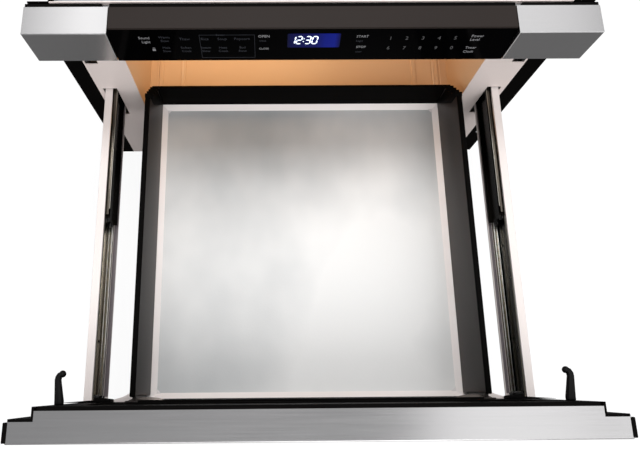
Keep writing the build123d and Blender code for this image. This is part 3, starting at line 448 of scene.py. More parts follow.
def along(nodes, links, axis):
    """A point's own X, Y or Z on the piece."""
    place = nodes.new("ShaderNodeTexCoord")
    split = nodes.new("ShaderNodeSeparateXYZ")
    links.new(place.outputs["Object"], split.inputs["Vector"])
    return split.outputs[axis]


def tones(nodes, links, source, *stops):
    """A colour that runs through stops, each a position and a tone, along a value."""
    blend = nodes.new("ShaderNodeValToRGB")
    elements = blend.color_ramp.elements
    elements[0].position, elements[0].color = stops[0][0], (*stops[0][1], 1)
    elements[1].position, elements[1].color = stops[-1][0], (*stops[-1][1], 1)
    for position, tone in stops[1:-1]:
        elements.new(position).color = (*tone, 1)
    links.new(source, blend.inputs["Fac"])
    return blend.outputs["Color"]


window_x, window_z, window_corner = (-0.0265, 0.0300), (0.3605, 0.3812), 0.0012
deselect()
bpy.ops.mesh.primitive_plane_add(size=1)
window = bpy.context.object
window.scale = (window_x[1] - window_x[0], window_z[1] - window_z[0], 1)
settle()
bpy.ops.object.mode_set(mode="EDIT")
bpy.ops.mesh.select_all(action="SELECT")
bpy.ops.mesh.bevel(offset=window_corner, segments=3, affect="VERTICES")
bpy.ops.mesh.extrude_region_move(TRANSFORM_OT_translate={"value": (0, 0, ink_thick / 2)})
bpy.ops.mesh.select_all(action="SELECT")
bpy.ops.mesh.normals_make_consistent(inside=False)
bpy.ops.object.mode_set(mode="OBJECT")
lay_on_glass(window, sum(window_x) / 2, sum(window_z) / 2)
display_blue, nodes, links, shader = finish("display_blue", (0.0, 0.001, 0.012), 0.0, 0.12, 0.1)
back_light = tones(nodes, links, ramp(nodes, links, along(nodes, links, "X"), *window_x), (0.0, (0.0, 0.0, 0.012)),
                   (0.07, (0.0, 0.0003, 0.04)), (0.55, (0.0005, 0.002, 0.08)), (0.72, (0.001, 0.006, 0.17)),
                   (0.90, (0.0015, 0.007, 0.19)), (0.965, (0.001, 0.002, 0.09)), (1.0, (0.0, 0.0, 0.03)))
links.new(back_light, shader.inputs["Emission Color"])
shader.inputs["Emission Strength"].default_value = 1.0
made([window], "display_window", display_blue)
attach(window, "cabinet")

figure_height, figure_width, bar_width, figure_slant = 0.0106, 0.0051, 0.0016, radians(9)
figure_z, bar_gap, dot_tall = 0.3716, 0.0003, 0.0012
figure_bars = {"0": "abcdef", "1": "bc", "2": "abged", "3": "abgcd"}
bar_places = {"a": (0, 0.5, 0), "g": (0, 0, 0), "d": (0, -0.5, 0), "b": (0.5, 0.25, 1), "c": (0.5, -0.25, 1),
              "e": (-0.5, -0.25, 1), "f": (-0.5, 0.25, 1)}
bars = []
for figure, middle in (("1", -0.0208), ("2", -0.0138), (":", -0.0091), ("3", -0.0045), ("0", 0.0027)):
    spots = [bar_places[bar] for bar in figure_bars.get(figure, "")] or [(0, 0.2, 2), (0, -0.2, 2)]
    for across, up, kind in spots:
        deselect()
        bpy.ops.mesh.primitive_cylinder_add(vertices=6, radius=0.5, depth=1, end_fill_type="NGON")
        bar = bpy.context.object
        length = (figure_width - bar_gap, figure_height / 2 - bar_gap, dot_tall)[kind]
        bar.rotation_euler = (0, 0, radians(90 if kind == 0 else 0))
        bar.scale = (bar_width, length, ink_thick * 1.5)
        settle()
        if kind == 1:
            bar.rotation_euler = (0, 0, -figure_slant)
        rise = up * figure_height
        bar.location = (middle + across * figure_width + rise * sin(figure_slant), rise, 0)
        settle()
        bars.append(bar)
figures = made(bars, "display_figures", ink("figure_white", (0.75, 0.85, 1.0), 1.6))
lay_on_glass(figures, 0, figure_z)
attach(figures, "cabinet")

# -------- runners
# Telescopic runners of bright zinc-plated sheet, rolled to channels, each in a white painted bracket. The middle
# and the inner members are painted near black as painted shade inside the channels, and towards the back all
# the zinc is painted darker as painted shadow of the control panel.
sides = (("left", -1), ("right", 1))
bracket_white = powder_coat("bracket_white", (0.84, 0.765, 0.735), 0.4)
dress(bracket_white, "drawer_bracket_left", "drawer_bracket_right")
web_x = (0.2648, 0.2660)
# Painted shadow of the control panel on the runners: where it begins and ends along Y, and how dark it gets.
shade_y, shade_tone = (-0.47, -0.44), 0.38


def runner_zinc(name, streak_tones, web_shade_tone):
    """Zinc plate drawn in long streaks between dark, middle and light tones; the web behind is one tone of painted
    shade.
    """
    material, nodes, links, shader = finish(name, (0.30, 0.29, 0.25), 1.0, 0.2)
    streaks = grain(nodes, links, (620, 2.4, 620))
    outward = nodes.new("ShaderNodeMath")
    outward.operation = "ABSOLUTE"
    web = nodes.new("ShaderNodeMix")
    web.data_type = "RGBA"
    web.inputs[7].default_value = (*web_shade_tone, 1)
    panel_shadowed = nodes.new("ShaderNodeVectorMath")
    panel_shadowed.operation = "SCALE"
    links.new(along(nodes, links, "X"), outward.inputs[0])
    links.new(ramp(nodes, links, outward.outputs[0], *web_x), web.inputs["Factor"])
    links.new(tones(nodes, links, streaks, *zip((0.40, 0.50, 0.60), streak_tones)), web.inputs[6])
    links.new(web.outputs[2], panel_shadowed.inputs[0])
    # Painted shadow: towards the back the zinc is darkened where the control panel's shadow falls.
    in_shade = ramp(nodes, links, along(nodes, links, "Y"), *shade_y, 1.0, shade_tone)
    links.new(in_shade, panel_shadowed.inputs["Scale"])
    links.new(panel_shadowed.outputs[0], shader.inputs["Base Color"])
    relief(nodes, links, streaks, shader, 0.0003, 0.2)
    return material


# The left runner is painted lighter and the right one darker, as painted light and shade; each web's tone is painted
# shade.
runner_lit_left = runner_zinc("zinc_lit_left", ((0.16, 0.14, 0.10), (0.42, 0.38, 0.30), (0.85, 0.80, 0.70)),
                          (0.24, 0.21, 0.165))
runner_shaded_right = runner_zinc("zinc_shaded_right", ((0.09, 0.075, 0.052), (0.38, 0.33, 0.24), (0.88, 0.80, 0.68)),
                           (0.006, 0.006, 0.004))
# Near black for the middle and inner members: painted shade of their sides inside the channels.
runner_shade_black = brushed_steel("runner_shade_black", (0.009, 0.008, 0.007), (900, 8, 900), 0.25)
olive_zinc = brushed_steel("olive_zinc", (0.12, 0.105, 0.085), (1400, 5, 1400), 0.3)
# Grey for a strip on each bracket's lower flange: painted shade where the flange lies in shadow.
flange_shade_grey = powder_coat("flange_shade_grey", (0.17, 0.145, 0.155), 0.5)
stop_black = powder_coat("stop_black", (0.003, 0.0025, 0.0022), 0.25, 0.5)
bright_zinc = brushed_steel("bright_zinc", (0.93, 0.91, 0.87), (300, 3, 300), 0.36)
# The same zinc painted darker for the middle member's edge: painted shade where it lies under the control panel.
zinc_edge_in_shade = brushed_steel("zinc_edge_in_shade", (0.40, 0.38, 0.33), (300, 3, 300), 0.36)
dress(runner_lit_left, "drawer_rail_left")
dress(runner_shaded_right, "drawer_rail_right")
dress(runner_shade_black, "middle_rail_left", "middle_rail_right", "fixed_rail_left", "fixed_rail_right")

# -------- rolled edges of the runners
# The free edges of the zinc-plated sheet and the outer race are rolled round. They catch the light as thin
# bright lines from end to end; the middle member's edge is the same zinc painted darker, as painted shade.


def apply_modifier(piece, kind, **settings):
    """Add a modifier, set it and apply it."""
    pick(piece)
    modifier = piece.modifiers.new(kind.lower(), kind)
    for setting, value in settings.items():
        setattr(modifier, setting, value)
    bpy.ops.object.modifier_apply(modifier=modifier.name)


bead_radius, race_x, end_inset, middle_start = 0.0008, 0.2652, 0.001, 0.012
edge_drop, edge_rise, race_rise = 0.0004, 0.0036, 0.0024


def bead(x, z, y):
    """A rolled edge along a runner: a thin rod lying along Y with rounded ends."""
    deselect()
    bpy.ops.mesh.primitive_cylinder_add(vertices=10, radius=bead_radius, depth=y[1] - y[0],
                                        location=(x, (y[0] + y[1]) / 2, z), rotation=(radians(90), 0, 0))
    rod = bpy.context.object
    settle()
    apply_modifier(rod, "BEVEL", width=bead_radius * 0.5, segments=2, limit_method="ANGLE", angle_limit=radians(60))
    bpy.ops.object.shade_smooth_by_angle(angle=radians(50))
    return rod


for name, side in sides:
    low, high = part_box(f"drawer_rail_{name}")
    edge_x = side * (min(abs(low.x), abs(high.x)) + bead_radius)
    y = (low.y + end_inset, high.y - end_inset)
    low_edge = bead(edge_x, low.z + edge_rise, y)
    race_edge = bead(side * race_x, low.z + race_rise, y)
    high_edge = bead(edge_x, high.z - edge_drop, y)
    edges = made([low_edge, high_edge, race_edge], f"rail_edges_{name}", bright_zinc)
    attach(edges, "drawer")
    low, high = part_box(f"middle_rail_{name}")
    edge_x = side * (min(abs(low.x), abs(high.x)) + bead_radius)
    edge = bead(edge_x, high.z - edge_drop, (low.y + middle_start, high.y - end_inset))
    made([edge], f"middle_edge_{name}", zinc_edge_in_shade)
    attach(edge, f"middle_{name}")

# -------- upper faces of the runners
# The middle member's upper face has an olive chromate, a thin strip laid on the part. A grey strip laid on each
# bracket's lower flange beside the runner is painted shade, where the flange lies in shadow.


def block(low, high):
    """A box between two corners, as the start of a piece."""
    deselect()
    low, high = Vector(low), Vector(high)
    bpy.ops.mesh.primitive_cube_add(size=1, location=(low + high) / 2)
    piece = bpy.context.object
    piece.scale = high - low
    settle()
    return piece


def side_block(side, x, y, z):
    """A box on the left (-1) or the right (1), with x counted outwards from the drawer's middle."""
    left, right = sorted((side * x[0], side * x[1]))
    return block((left, y[0], z[0]), (right, y[1], z[1]))


def rounded(piece, width, segments=3, angle=30):
    """Bevel every edge sharper than an angle and shade the piece smooth."""
    apply_modifier(piece, "BEVEL", width=width, segments=segments, limit_method="ANGLE", angle_limit=radians(angle),
                   harden_normals=False)
    bpy.ops.object.shade_smooth_by_angle(angle=radians(35))


top_x, top_rise, top_start = (0.2558, 0.2597), (0.0001, 0.0008), 0.004
strip_x, strip_z = {"left": (0.2549, 0.2599), "right": (0.2562, 0.2599)}, (0.1501, 0.1506)
for name, side in sides:
    low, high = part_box(f"middle_rail_{name}")
    top = side_block(side, top_x, (low.y + top_start, high.y - end_inset), (high.z + top_rise[0], high.z + top_rise[1]))
    rounded(top, 0.0003, 2)
    made([top], f"middle_top_{name}", olive_zinc)
    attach(top, f"middle_{name}")

    low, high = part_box(f"drawer_rail_{name}")
    strip = side_block(side, strip_x[name], (low.y + top_start, high.y - top_start), strip_z)
    rounded(strip, 0.0002, 2)
    made([strip], f"bracket_shade_strip_{name}", flange_shade_grey)
    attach(strip, "drawer")

# -------- bumpers and stops of the runners
# Moulded in black: a bumper, a knob and plugs in the web's holes on the outer member, and on the middle member
# a stop with two lugs and a sloping tongue.


def mark(piece, inside):
    """Select the vertices for which inside(place) holds, and the edges and faces between them."""
    for vertex in piece.data.vertices:
        vertex.select = inside(vertex.co)
    for part in (*piece.data.edges, *piece.data.polygons):
        part.select = all(piece.data.vertices[index].select for index in part.vertices)


def nudge(piece, inside, step):
    """Move the vertices for which inside(place) holds."""
    pick(piece)
    mark(piece, inside)
    bpy.ops.object.mode_set(mode="EDIT")
    bpy.ops.transform.translate(value=step)
    bpy.ops.object.mode_set(mode="OBJECT")


bumper_x, bumper_y, bumper_z = (0.2606, 0.2662), (0.0004, 0.0068), (0.1572, 0.186)
knob_x, knob_y, knob_z = (0.2565, 0.2604), (0.0002, 0.0052), (0.1562, 0.1640)
hole_x, hole_z, hole_radius, plug_thick = 0.2660, 0.1625, 0.0021, 0.0005
hole_places = {"left": (-0.613,), "right": (-0.613, -0.490)}
stop_x, stop_front, stop_back, stop_inset = (0.2588, 0.2646), -0.4560, -0.452, 0.001
lug_x, lug_half, lug_places = (0.2584, 0.2650), 0.0048, ((0.1665, -0.4618), (0.1850, -0.4596))
tongue_x, tongue_z, tongue_slope = (0.2614, 0.2640), (0.1580, 0.1625), 0.0028
for name, side in sides:
    front_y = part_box(f"drawer_rail_{name}")[0].y
    bumper = side_block(side, bumper_x, (front_y + bumper_y[0], front_y + bumper_y[1]), bumper_z)
    rounded(bumper, 0.0018, 4)
    knob = side_block(side, knob_x, (front_y + knob_y[0], front_y + knob_y[1]), knob_z)
    rounded(knob, 0.0014, 3)
    mouldings = [bumper, knob]
    for y in hole_places[name]:
        deselect()
        bpy.ops.mesh.primitive_cylinder_add(vertices=20, radius=hole_radius, depth=plug_thick,
                                            location=(side * hole_x, y, hole_z), rotation=(0, radians(90), 0))
        plug = bpy.context.object
        settle()
        apply_modifier(plug, "BEVEL", width=0.0002, segments=2, limit_method="ANGLE", angle_limit=radians(60))
        mouldings.append(plug)
    made(mouldings, f"rail_bumper_{name}", stop_black)
    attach(bumper, "drawer")

    low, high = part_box(f"rail_stop_{name}")
    stop = side_block(side, stop_x, (stop_front, high.y), (low.z + stop_inset, high.z - stop_inset))
    rounded(stop, 0.001, 3)
    mouldings = [stop]
    for lug_z, lug_y in lug_places:
        lug = side_block(side, lug_x, (lug_y, stop_back), (lug_z - lug_half, lug_z + lug_half))
        rounded(lug, 0.0022, 4)
        mouldings.append(lug)
    tongue = side_block(side, tongue_x, (low.y, stop_back), tongue_z)
    nudge(tongue, lambda place: place.y < low.y + 1e-5 and place.z > sum(tongue_z) / 2, (0, 0, -tongue_slope))
    rounded(tongue, 0.0005, 2)
    made([*mouldings, tongue], f"rail_stopper_{name}", stop_black)
    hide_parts(f"rail_stop_{name}")
    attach(stop, f"middle_{name}")

# -------- cover strips of the brackets
# Black strips on the front's back, tapering outwards, with a thicker pad at the inner end. They hide the fold
# above each bracket.
door_back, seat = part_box("choke_cover")[1].y, 0.0002
cover_x, cover_z, cover_thick, cover_taper = (0.2362, 0.2922), (0.2030, 0.2052), 0.0042, 0.0036
pad_x, pad_z, pad_thick, pad_taper = (0.2362, 0.2560), (0.1900, 0.2050), 0.0060, 0.0022
for name, side in sides:
    cover = side_block(side, cover_x, (door_back + seat, door_back + cover_thick), cover_z)
    nudge(cover, lambda place: abs(place.x) > sum(cover_x) / 2 and place.y > door_back + seat + 1e-5,
          (0, -cover_taper, 0))
    rounded(cover, 0.0006, 2)
    pad = side_block(side, pad_x, (door_back + seat, door_back + pad_thick), pad_z)
    nudge(pad, lambda place: abs(place.x) < sum(pad_x) / 2 and place.y > door_back + seat + 1e-5, (0, -pad_taper, 0))
    rounded(pad, 0.001, 3)
    made([cover, pad], f"bracket_cover_{name}", seal_black)
    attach(cover, "drawer")

# -------- bowl walls
# Two low walls of dark painted sheet with a rounded rim, set off from the front on a neck and a foot. A black
# lip lies along each rim.
bowl_dark = powder_coat("bowl_dark", (0.022, 0.0175, 0.016), 0.42, 0.2)
dress(bowl_dark, "bowl_side_left", "bowl_side_right")


def sliced(place, facing, **cleared):
    """Cut the active piece along a plane; cleared says which side goes, and the cut is then filled."""
    bpy.ops.object.mode_set(mode="EDIT")
    bpy.ops.mesh.select_all(action="SELECT")
    bpy.ops.mesh.bisect(plane_co=place, plane_no=facing, use_fill=bool(cleared), **cleared)
    bpy.ops.object.mode_set(mode="OBJECT")


bowl_foot, bowl_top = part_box("bowl_side_right")
rear_low, rear_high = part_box("bowl_rear")
wall_foot_z, wall_half = rear_low.z, rear_high.x
rim, draft = 0.0054, 0.0038
inner_half = wall_half - rim - draft
wall_front = door_back + 0.0075
shoulder_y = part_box("face_frame")[0].y - 0.022
fall_y, fall_z = rear_high.y - 0.0035 - shoulder_y, bowl_top.z - rear_high.z
foot_in, foot_out, foot_thick = 0.004, 0.0062, 0.0022
neck_in, neck_back, neck_rise, neck_drop = 0.0012, 0.003, 0.004, 0.007
lip_in, lip_out, lip_drop, lip_rise = 0.0006, 0.0005, 0.004, 0.0007
for name, side in sides:
    wall = side_block(side, (inner_half, wall_half), (wall_front, rear_high.y), (wall_foot_z, bowl_top.z))
    nudge(wall, lambda place: abs(abs(place.x) - inner_half) < 1e-5 and place.z > bowl_top.z - 1e-5,
          (side * draft, 0, 0))
    sliced((0, shoulder_y, bowl_top.z), (0, fall_z, fall_y), clear_outer=True)
    rounded(wall, 0.0014, 4)
    foot = side_block(side, (inner_half - foot_in, wall_half + foot_out), (door_back + seat, door_back + foot_thick),
                      (bowl_foot.z + 0.0005, bowl_top.z - 0.003))
    rounded(foot, 0.0009)
    neck = side_block(side, (wall_half - rim, wall_half - neck_in), (door_back + 0.0015, wall_front + neck_back),
                      (wall_foot_z + neck_rise, bowl_top.z - neck_drop))
    rounded(neck, 0.0008)
    lip = side_block(side, (wall_half - rim - lip_in, wall_half + lip_out), (wall_front - 0.0012, shoulder_y + 0.001),
                     (bowl_top.z - lip_drop, bowl_top.z + lip_rise))
    rounded(lip, 0.0016, 4)
    made([lip], f"bowl_lip_{name}", seal_black)
    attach(lip, "drawer")
    made([wall, foot, neck], f"bowl_wall_{name}", bowl_dark)
    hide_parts(f"bowl_side_{name}")
    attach(wall, "drawer")

# -------- bowl corners
# Black sheet folded in four steps leads each rim down to the lower back wall. Inside, a thin lining closes the
# corner flush with the side wall.


def folded_strip(points, low_x, high_x):
    """A sheet from one x to another that follows points of y and z, extruded edge by edge."""
    deselect()
    start, end = Vector((0, *points[0])), Vector((0, *points[1]))
    bpy.ops.mesh.primitive_plane_add(size=1)
    strip = bpy.context.object
    strip.scale = (high_x - low_x, (end - start).length, 1)
    strip.rotation_euler = (atan2(end.z - start.z, end.y - start.y), 0, 0)
    strip.location = (start + end) / 2 + Vector(((low_x + high_x) / 2, 0, 0))
    settle()
    for here, there in zip(points[1:], points[2:]):
        mark(strip, lambda place: (place - Vector((place.x, *here))).length < 1e-5)
        step = (0, there[0] - here[0], there[1] - here[1])
        bpy.ops.object.mode_set(mode="EDIT")
        bpy.ops.mesh.extrude_region_move(TRANSFORM_OT_translate={"value": step})
        bpy.ops.object.mode_set(mode="OBJECT")
    return strip


step_count, step_rise, corner_thick = 4, 0.0008, 0.0012
corner_in, corner_out = 0.0105, 0.0006
lining_thick, lining_lean, lining_top = 0.0005, 0.525, bowl_top.z - 0.001
run = (rear_high.y - 0.003 - shoulder_y) / step_count
fall = (bowl_top.z - rear_high.z) / step_count
line = [(shoulder_y - 0.002, bowl_top.z + step_rise)]
for count in range(step_count):
    y, z = shoulder_y + count * run, bowl_top.z + step_rise - count * fall
    line += [(y + 0.45 * run, z + step_rise), (y + 0.55 * run, z - 0.6 * fall), (y + run, z - fall)]
for name, side in sides:
    corner = folded_strip(line, *sorted((side * (wall_half - corner_in), side * (wall_half + corner_out))))
    apply_modifier(corner, "SOLIDIFY", thickness=corner_thick, offset=-1.0)
    rounded(corner, 0.0003, 2)
    lining = side_block(side, (inner_half - lining_thick, inner_half + draft), (shoulder_y, rear_low.y + 0.001),
                        (wall_foot_z + 0.0008, lining_top))
    nudge(lining, lambda place: abs(place.x) < inner_half and place.z > lining_top - 1e-5, (side * draft, 0, 0))
    sliced((0, rear_low.y, wall_foot_z), (0, 1, lining_lean), clear_inner=True)
    sliced((0, shoulder_y, bowl_top.z), (0, fall_z, fall_y), clear_outer=True)
    rounded(lining, 0.0002, 2)
    made([corner, lining], f"bowl_corner_{name}", seal_black)
    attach(corner, "drawer")

# -------- gussets and front feet
# White folded gussets brace each bracket against the front, and above them a half-round steel foot of the bowl
# rests on the front's back.
toe_steel = brushed_steel("toe_steel", (0.07, 0.06, 0.055), (6, 900, 900), 0.28)
gusset_tip_x, gusset_bend_x, gusset_deep, gusset_z = 0.246, 0.2262, 0.0145, (0.187, 0.1885)
toe_in, toe_z, toe_size = 0.0178, 0.212, (0.047, 0.0118, 0.002)
for name, side in sides:
    gusset = side_block(side, (wall_half + 0.0004, gusset_tip_x), (door_back + seat, door_back + gusset_deep), gusset_z)
    sliced((side * gusset_bend_x, 0, 0), (1, 0, 0))
    for x, cut_back in ((gusset_tip_x, 0.0139), (gusset_bend_x, 0.0083)):
        nudge(gusset, lambda place: abs(abs(place.x) - x) < 1e-5 and place.y > door_back + 0.01, (0, -cut_back, 0))
    rounded(gusset, 0.0005, 2)
    made([gusset], f"bracket_gusset_{name}", bracket_white)
    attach(gusset, "drawer")

    deselect()
    bpy.ops.mesh.primitive_cylinder_add(vertices=48, radius=0.5, depth=1,
                                        location=(side * (wall_half - toe_in), door_back + seat, toe_z))
    toe = bpy.context.object
    toe.scale = toe_size
    settle()
    sliced((0, door_back + seat, 0), (0, -1, 0), clear_outer=True)
    rounded(toe, 0.0006, 2)
    made([toe], f"bowl_toe_{name}", toe_steel)
    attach(toe, "drawer")

# -------- ribs of the cavity floor
# Long shallow ribs pressed into the enamelled floor beside the antenna's cover. Their enamel is painted lighter
# than the floor's, and orange in part like it as painted light of the bulb.
floor_low, floor_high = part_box("cavity_floor")
rib_sunk, rib_tall, rib_y = 0.0002, 0.0007, (floor_low.y + 0.003, floor_high.y - 0.012)
ribs = []
for x, wide in ((-0.2136, 0.0014), (-0.1770, 0.0030), (0.2040, 0.0026), (0.2147, 0.0014)):
    rib = block((x - wide / 2, rib_y[0], floor_high.z - rib_sunk), (x + wide / 2, rib_y[1], floor_high.z + rib_tall))
    rounded(rib, 0.0003, 2)
    ribs.append(rib)
ribs = made(ribs, "cavity_ribs", rib_enamel_lighter)
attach(ribs, "cabinet")

# -------- bowl floor
# A plate of frosted glass-ceramic, milky with a faint mottled grain, lies in a white painted tray. Its tone is
# painted darker towards the back as painted shadow of the control panel, and lighter towards the front. A pale
# bead of sealant with cut corners holds it.
dress(powder_coat("tray_white", (0.96, 0.905, 0.885), 0.4), "floor_tray")
plate_low, plate_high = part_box("ceramic_plate")
plate_shadow_length, plate_shadow_depth = 0.26, 0.16
frosted, nodes, links, shader = finish("frosted_ceramic", (0.655, 0.665, 0.66), 0.0, 0.4)
milky = nodes.new("ShaderNodeMath")
links.new(grain(nodes, links, (3.4, 2.6, 3), 4.0), milky.inputs[0])
# Painted shadow and light: darker towards the back, under the control panel, and lighter towards the front.
plate_shadow = ramp(nodes, links, along(nodes, links, "Y"), plate_high.y, plate_high.y - plate_shadow_length, -plate_shadow_depth, plate_shadow_depth,
             "SMOOTHSTEP")
links.new(plate_shadow, milky.inputs[1])
links.new(two_tone(nodes, links, milky.outputs[0], (0.36, 0.385, 0.40), (0.84, 0.84, 0.83)),
          shader.inputs["Base Color"])
relief(nodes, links, grain(nodes, links, (420, 420, 420)), shader, 0.0002, 0.35)
dress(frosted, "ceramic_plate")


def flat_frame(half, wide, thick):
    """A flat frame in the XY plane, half its outer size each way from the origin."""
    deselect()
    bpy.ops.mesh.primitive_plane_add(size=2)
    border = bpy.context.object
    border.scale = (*half, 1)
    settle()
    bpy.ops.object.mode_set(mode="EDIT")
    bpy.ops.mesh.select_all(action="SELECT")
    bpy.ops.mesh.inset(thickness=wide)
    bpy.ops.mesh.delete(type="FACE")
    bpy.ops.object.mode_set(mode="OBJECT")
    apply_modifier(border, "SOLIDIFY", thickness=thick, offset=1.0)
    return border


seal_wide, seal_thick, corner_cut = 0.0026, 0.0007, 0.006
middle = (plate_low + plate_high) / 2
half = (plate_high.x - 0.0002, (plate_high.y - plate_low.y) / 2 - 0.0002)
seal = flat_frame(half, seal_wide, seal_thick)
seal.location = (middle.x, middle.y, plate_high.z)
settle()
seal_pieces = [seal]
for x_side in (-1, 1):
    for y_side in (-1, 1):
        outer = Vector((middle.x + x_side * half[0], middle.y + y_side * half[1], plate_high.z))
        inner = outer - Vector((x_side * (corner_cut + seal_wide), y_side * (corner_cut + seal_wide), 0))
        seal_pieces.append(block((min(outer.x, inner.x), min(outer.y, inner.y), plate_high.z + 0.00005),
                                 (max(outer.x, inner.x), max(outer.y, inner.y), plate_high.z + seal_thick)))
        sliced(outer - Vector((x_side * (seal_wide + corner_cut), y_side * seal_wide, 0)), (-x_side, -y_side, 0),
               clear_outer=True)
for piece in seal_pieces:
    rounded(piece, 0.0002, 2)
made(seal_pieces, "plate_seal", powder_coat("seal_pale", (0.80, 0.76, 0.755), 0.5, 0.3))
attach(seal, "drawer")

# -------- drawer front's back
# A black painted frame closes the skin's turned-back edges on both sides of the pan, a soft black strip seals
# the pan's sides, and a black trim runs down each outer side of the front.


def faces_picked(piece, chosen):
    """Go into edit mode with only the faces selected for which chosen(face) holds."""
    bpy.ops.object.mode_set(mode="EDIT")
    bpy.ops.mesh.select_all(action="DESELECT")
    bpy.ops.object.mode_set(mode="OBJECT")
    for face in piece.data.polygons:
        face.select = chosen(face)
    bpy.ops.object.mode_set(mode="EDIT")


skin_low, skin_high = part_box("front_skin")
pan_low, pan_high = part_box("door_pan")
frame_thick, frame_start, strip_wide = 0.0028, 0.0001, 0.0026
panel_wide, panel_sunk, trim_sunk, trim_inset = 0.004, 0.0007, 0.0011, 0.0012
for name, side in sides:
    wing = side_block(side, (pan_high.x + strip_wide, skin_high.x - 0.0003),
                      (skin_high.y + frame_start, skin_high.y + frame_thick),
                      (skin_low.z + 0.001, skin_high.z - 0.0004))
    faces_picked(wing, lambda face: face.normal.y > 0.9)
    bpy.ops.mesh.inset(thickness=panel_wide, depth=-panel_sunk)
    bpy.ops.object.mode_set(mode="OBJECT")
    rounded(wing, 0.0003, 2)
    strip = side_block(side, (pan_high.x + 0.0001, pan_high.x + strip_wide), (skin_high.y + frame_start, door_back),
                       (pan_low.z, pan_high.z - 0.0002))
    rounded(strip, 0.0004, 2)
    trim = side_block(side, (skin_high.x - trim_sunk, cad_box[1].x), (skin_low.y + trim_inset, skin_high.y - 0.0004),
                      (skin_low.z + trim_inset, skin_high.z + 0.0006))
    rounded(trim, 0.0008, 3)
    made([trim], f"side_trim_{name}", seal_black)
    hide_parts("side_trims")
    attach(trim, "drawer")
    made([wing, strip], f"front_back_{name}", seal_black)
    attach(wing, "drawer")

# -------- interlock hooks
# Moulded black nylon: a tapering shank on the back of the front, which bends out and then in again, with a
# rounded head.
hook_black = powder_coat("hook_black", (0.003, 0.0028, 0.0028), 0.5, 0.12)
hook_in, shank_wide, shank_tall, shank_foot = 0.0012, 0.004, 0.0041, (0.0001, 0.004)
hook_bends = (((0.0015, 0.011), 0.86), ((0.0014, 0.0105), 0.86), ((-0.0006, 0.0035), 1.0),
              ((-0.0024, 0.0034), 1.05), ((-0.0018, 0.0012), 0.8))
head_round, head_in, head_back = 0.0037, 0.0014, 0.0050
for name, side in sides:
    low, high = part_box(f"latch_hook_{name}")
    x, z = side * (abs(low.x + high.x) / 2 - hook_in), (low.z + high.z) / 2
    hook = block((x - shank_wide, low.y + shank_foot[0], z - shank_tall),
                 (x + shank_wide, low.y + shank_foot[1], z + shank_tall))
    for (outwards, back), narrower in hook_bends:
        far = max(vertex.co.y for vertex in hook.data.vertices)
        faces_picked(hook, lambda face: face.center.y > far - 1e-5)
        bpy.ops.mesh.extrude_region_move(TRANSFORM_OT_translate={"value": (side * outwards, back, 0)})
        bpy.ops.transform.resize(value=(narrower, 1, narrower))
        bpy.ops.object.mode_set(mode="OBJECT")
    rounded(hook, 0.0012, 3, 50)
    deselect()
    bpy.ops.mesh.primitive_uv_sphere_add(segments=20, ring_count=12, radius=head_round,
                                         location=(x - side * head_in, high.y - head_back, z))
    head = bpy.context.object
    head.scale = (1, 1, 0.98)
    settle()
    bpy.ops.object.shade_smooth()
    made([hook, head], f"hook_{name}", hook_black)
    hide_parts(f"latch_hook_{name}")
    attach(hook, "drawer")

# -------- inner parts
# What the casing hides: moulded nylon and housings of the drawer drive and the fan, the aluminium wave guide,
# the motors' and the capacitor's plated cans, the transformer's iron and copper, and the circuit boards.
dress(powder_coat("circuit_green", (0.02, 0.12, 0.05), 0.4), "control_board", "power_board", "display_module")
dress(brushed_steel("copper", (0.72, 0.34, 0.18), (1100, 1100, 60), 0.3), "transformer_winding")
dress(brushed_steel("iron", (0.10, 0.10, 0.105), (60, 1500, 60), 0.5), "transformer_core")
dress(powder_coat("moulded_black", (0.010, 0.010, 0.011), 0.45, 0.4),
      "power_inlet", "latch_switches", "drive_gearbox", "fan_housing", "fan_wheel")
dress(powder_coat("nylon_white", (0.78, 0.77, 0.72), 0.35), "drive_pinion", "drive_rack")
dress(brushed_steel("aluminium", (0.72, 0.73, 0.74), (40, 40, 700), 0.35), "waveguide", "antenna")
dress(brushed_steel("plated_can", (0.50, 0.50, 0.49), (300, 300, 30), 0.3),
      "antenna_motor", "drive_motor", "hv_capacitor", "magnetron")

# -------- case screws and rear rim
# Plated hexagon screws with a flange hold the back sheet and the wrapper to the base. The back sheet's rim is
# folded over along its four edges.
head_radius, head_tall, head_rim, head_dent = 0.0036, 0.0028, 0.0009, 0.0007
flange_radius, flange_thick = 0.0052, 0.0008
case_low, case_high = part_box("rear_panel")
screw_zinc = brushed_steel("screw_zinc", (0.62, 0.62, 0.60), (500, 500, 500), 0.3)


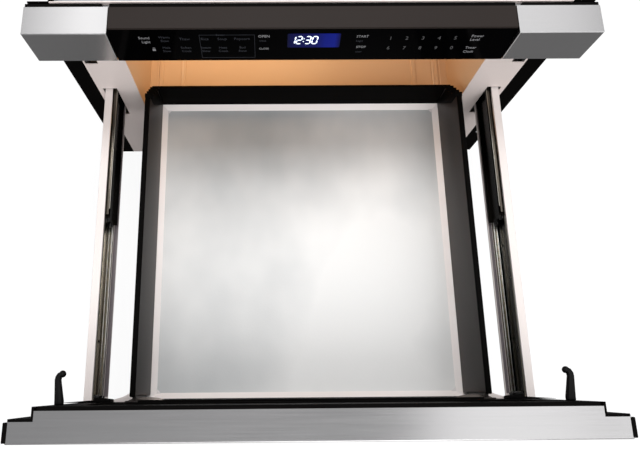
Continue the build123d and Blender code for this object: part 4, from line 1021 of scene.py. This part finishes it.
def hexagon_screw(place, turn):
    """A hexagon screw's head with its flange, standing up from a place and turned about X, Y and Z."""
    deselect()
    bpy.ops.mesh.primitive_cylinder_add(vertices=24, radius=flange_radius, depth=flange_thick,
                                        location=(0, 0, flange_thick / 2))
    flange = bpy.context.object
    rounded(flange, 0.0002, 2)
    deselect()
    bpy.ops.mesh.primitive_cylinder_add(vertices=6, radius=head_radius, depth=head_tall, location=(0, 0, head_tall / 2))
    head = bpy.context.object
    faces_picked(head, lambda face: face.normal.z > 0.9)
    bpy.ops.mesh.inset(thickness=head_rim, depth=-head_dent)
    bpy.ops.object.mode_set(mode="OBJECT")
    rounded(head, 0.0002, 2)
    screw = made([flange, head], "screw")
    settle()
    screw.rotation_euler = turn
    screw.location = place
    settle()
    return screw


def screw_row(first, steps, name):
    """Copies of a screw at steps from it, all one piece on the cabinet."""
    row = [first]
    for step in steps:
        pick(first)
        bpy.ops.object.duplicate(linked=False)
        twin = bpy.context.object
        twin.location = step
        settle()
        row.append(twin)
    row = made(row, name, screw_zinc)
    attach(row, "cabinet")


rim_wide, rim_thick, rim_inset = 0.011, 0.0009, 0.0006
rear_rim = flat_frame((case_high.x - rim_inset, (case_high.z - case_low.z) / 2 - rim_inset), rim_wide, rim_thick)
rear_rim.rotation_euler = (radians(-90), 0, 0)
rear_rim.location = (0, case_high.y, (case_high.z + case_low.z) / 2)
settle()
rounded(rear_rim, 0.0003, 2)
made([rear_rim], "rear_rim", zinc_sheet)
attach(rear_rim, "cabinet")

screw_x, screw_z, top_drop, screw_pitch = case_high.x - 0.0058, 0.020, 0.0140, 0.155
first = hexagon_screw((-screw_x, case_high.y + rim_thick, screw_z), (radians(-90), 0, 0))
steps = [(screw_x * 2 * across / 4, 0, 0) for across in range(1, 5)]
steps += [(screw_x * 2 * across / 4, 0, case_high.z - 2 * screw_z + top_drop) for across in range(5)]
steps += [(0, 0, screw_pitch), (2 * screw_x, 0, screw_pitch)]
screw_row(first, steps, "rear_screws")
wrapper_x, side_start, side_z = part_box("outer_wrapper")[1].x, -0.225, 0.014
for name, side in sides:
    first = hexagon_screw((side * wrapper_x, side_start, side_z), (0, side * radians(90), 0))
    screw_row(first, [(0, screw_pitch * count, 0) for count in (1, 2, 3)], f"side_screws_{name}")
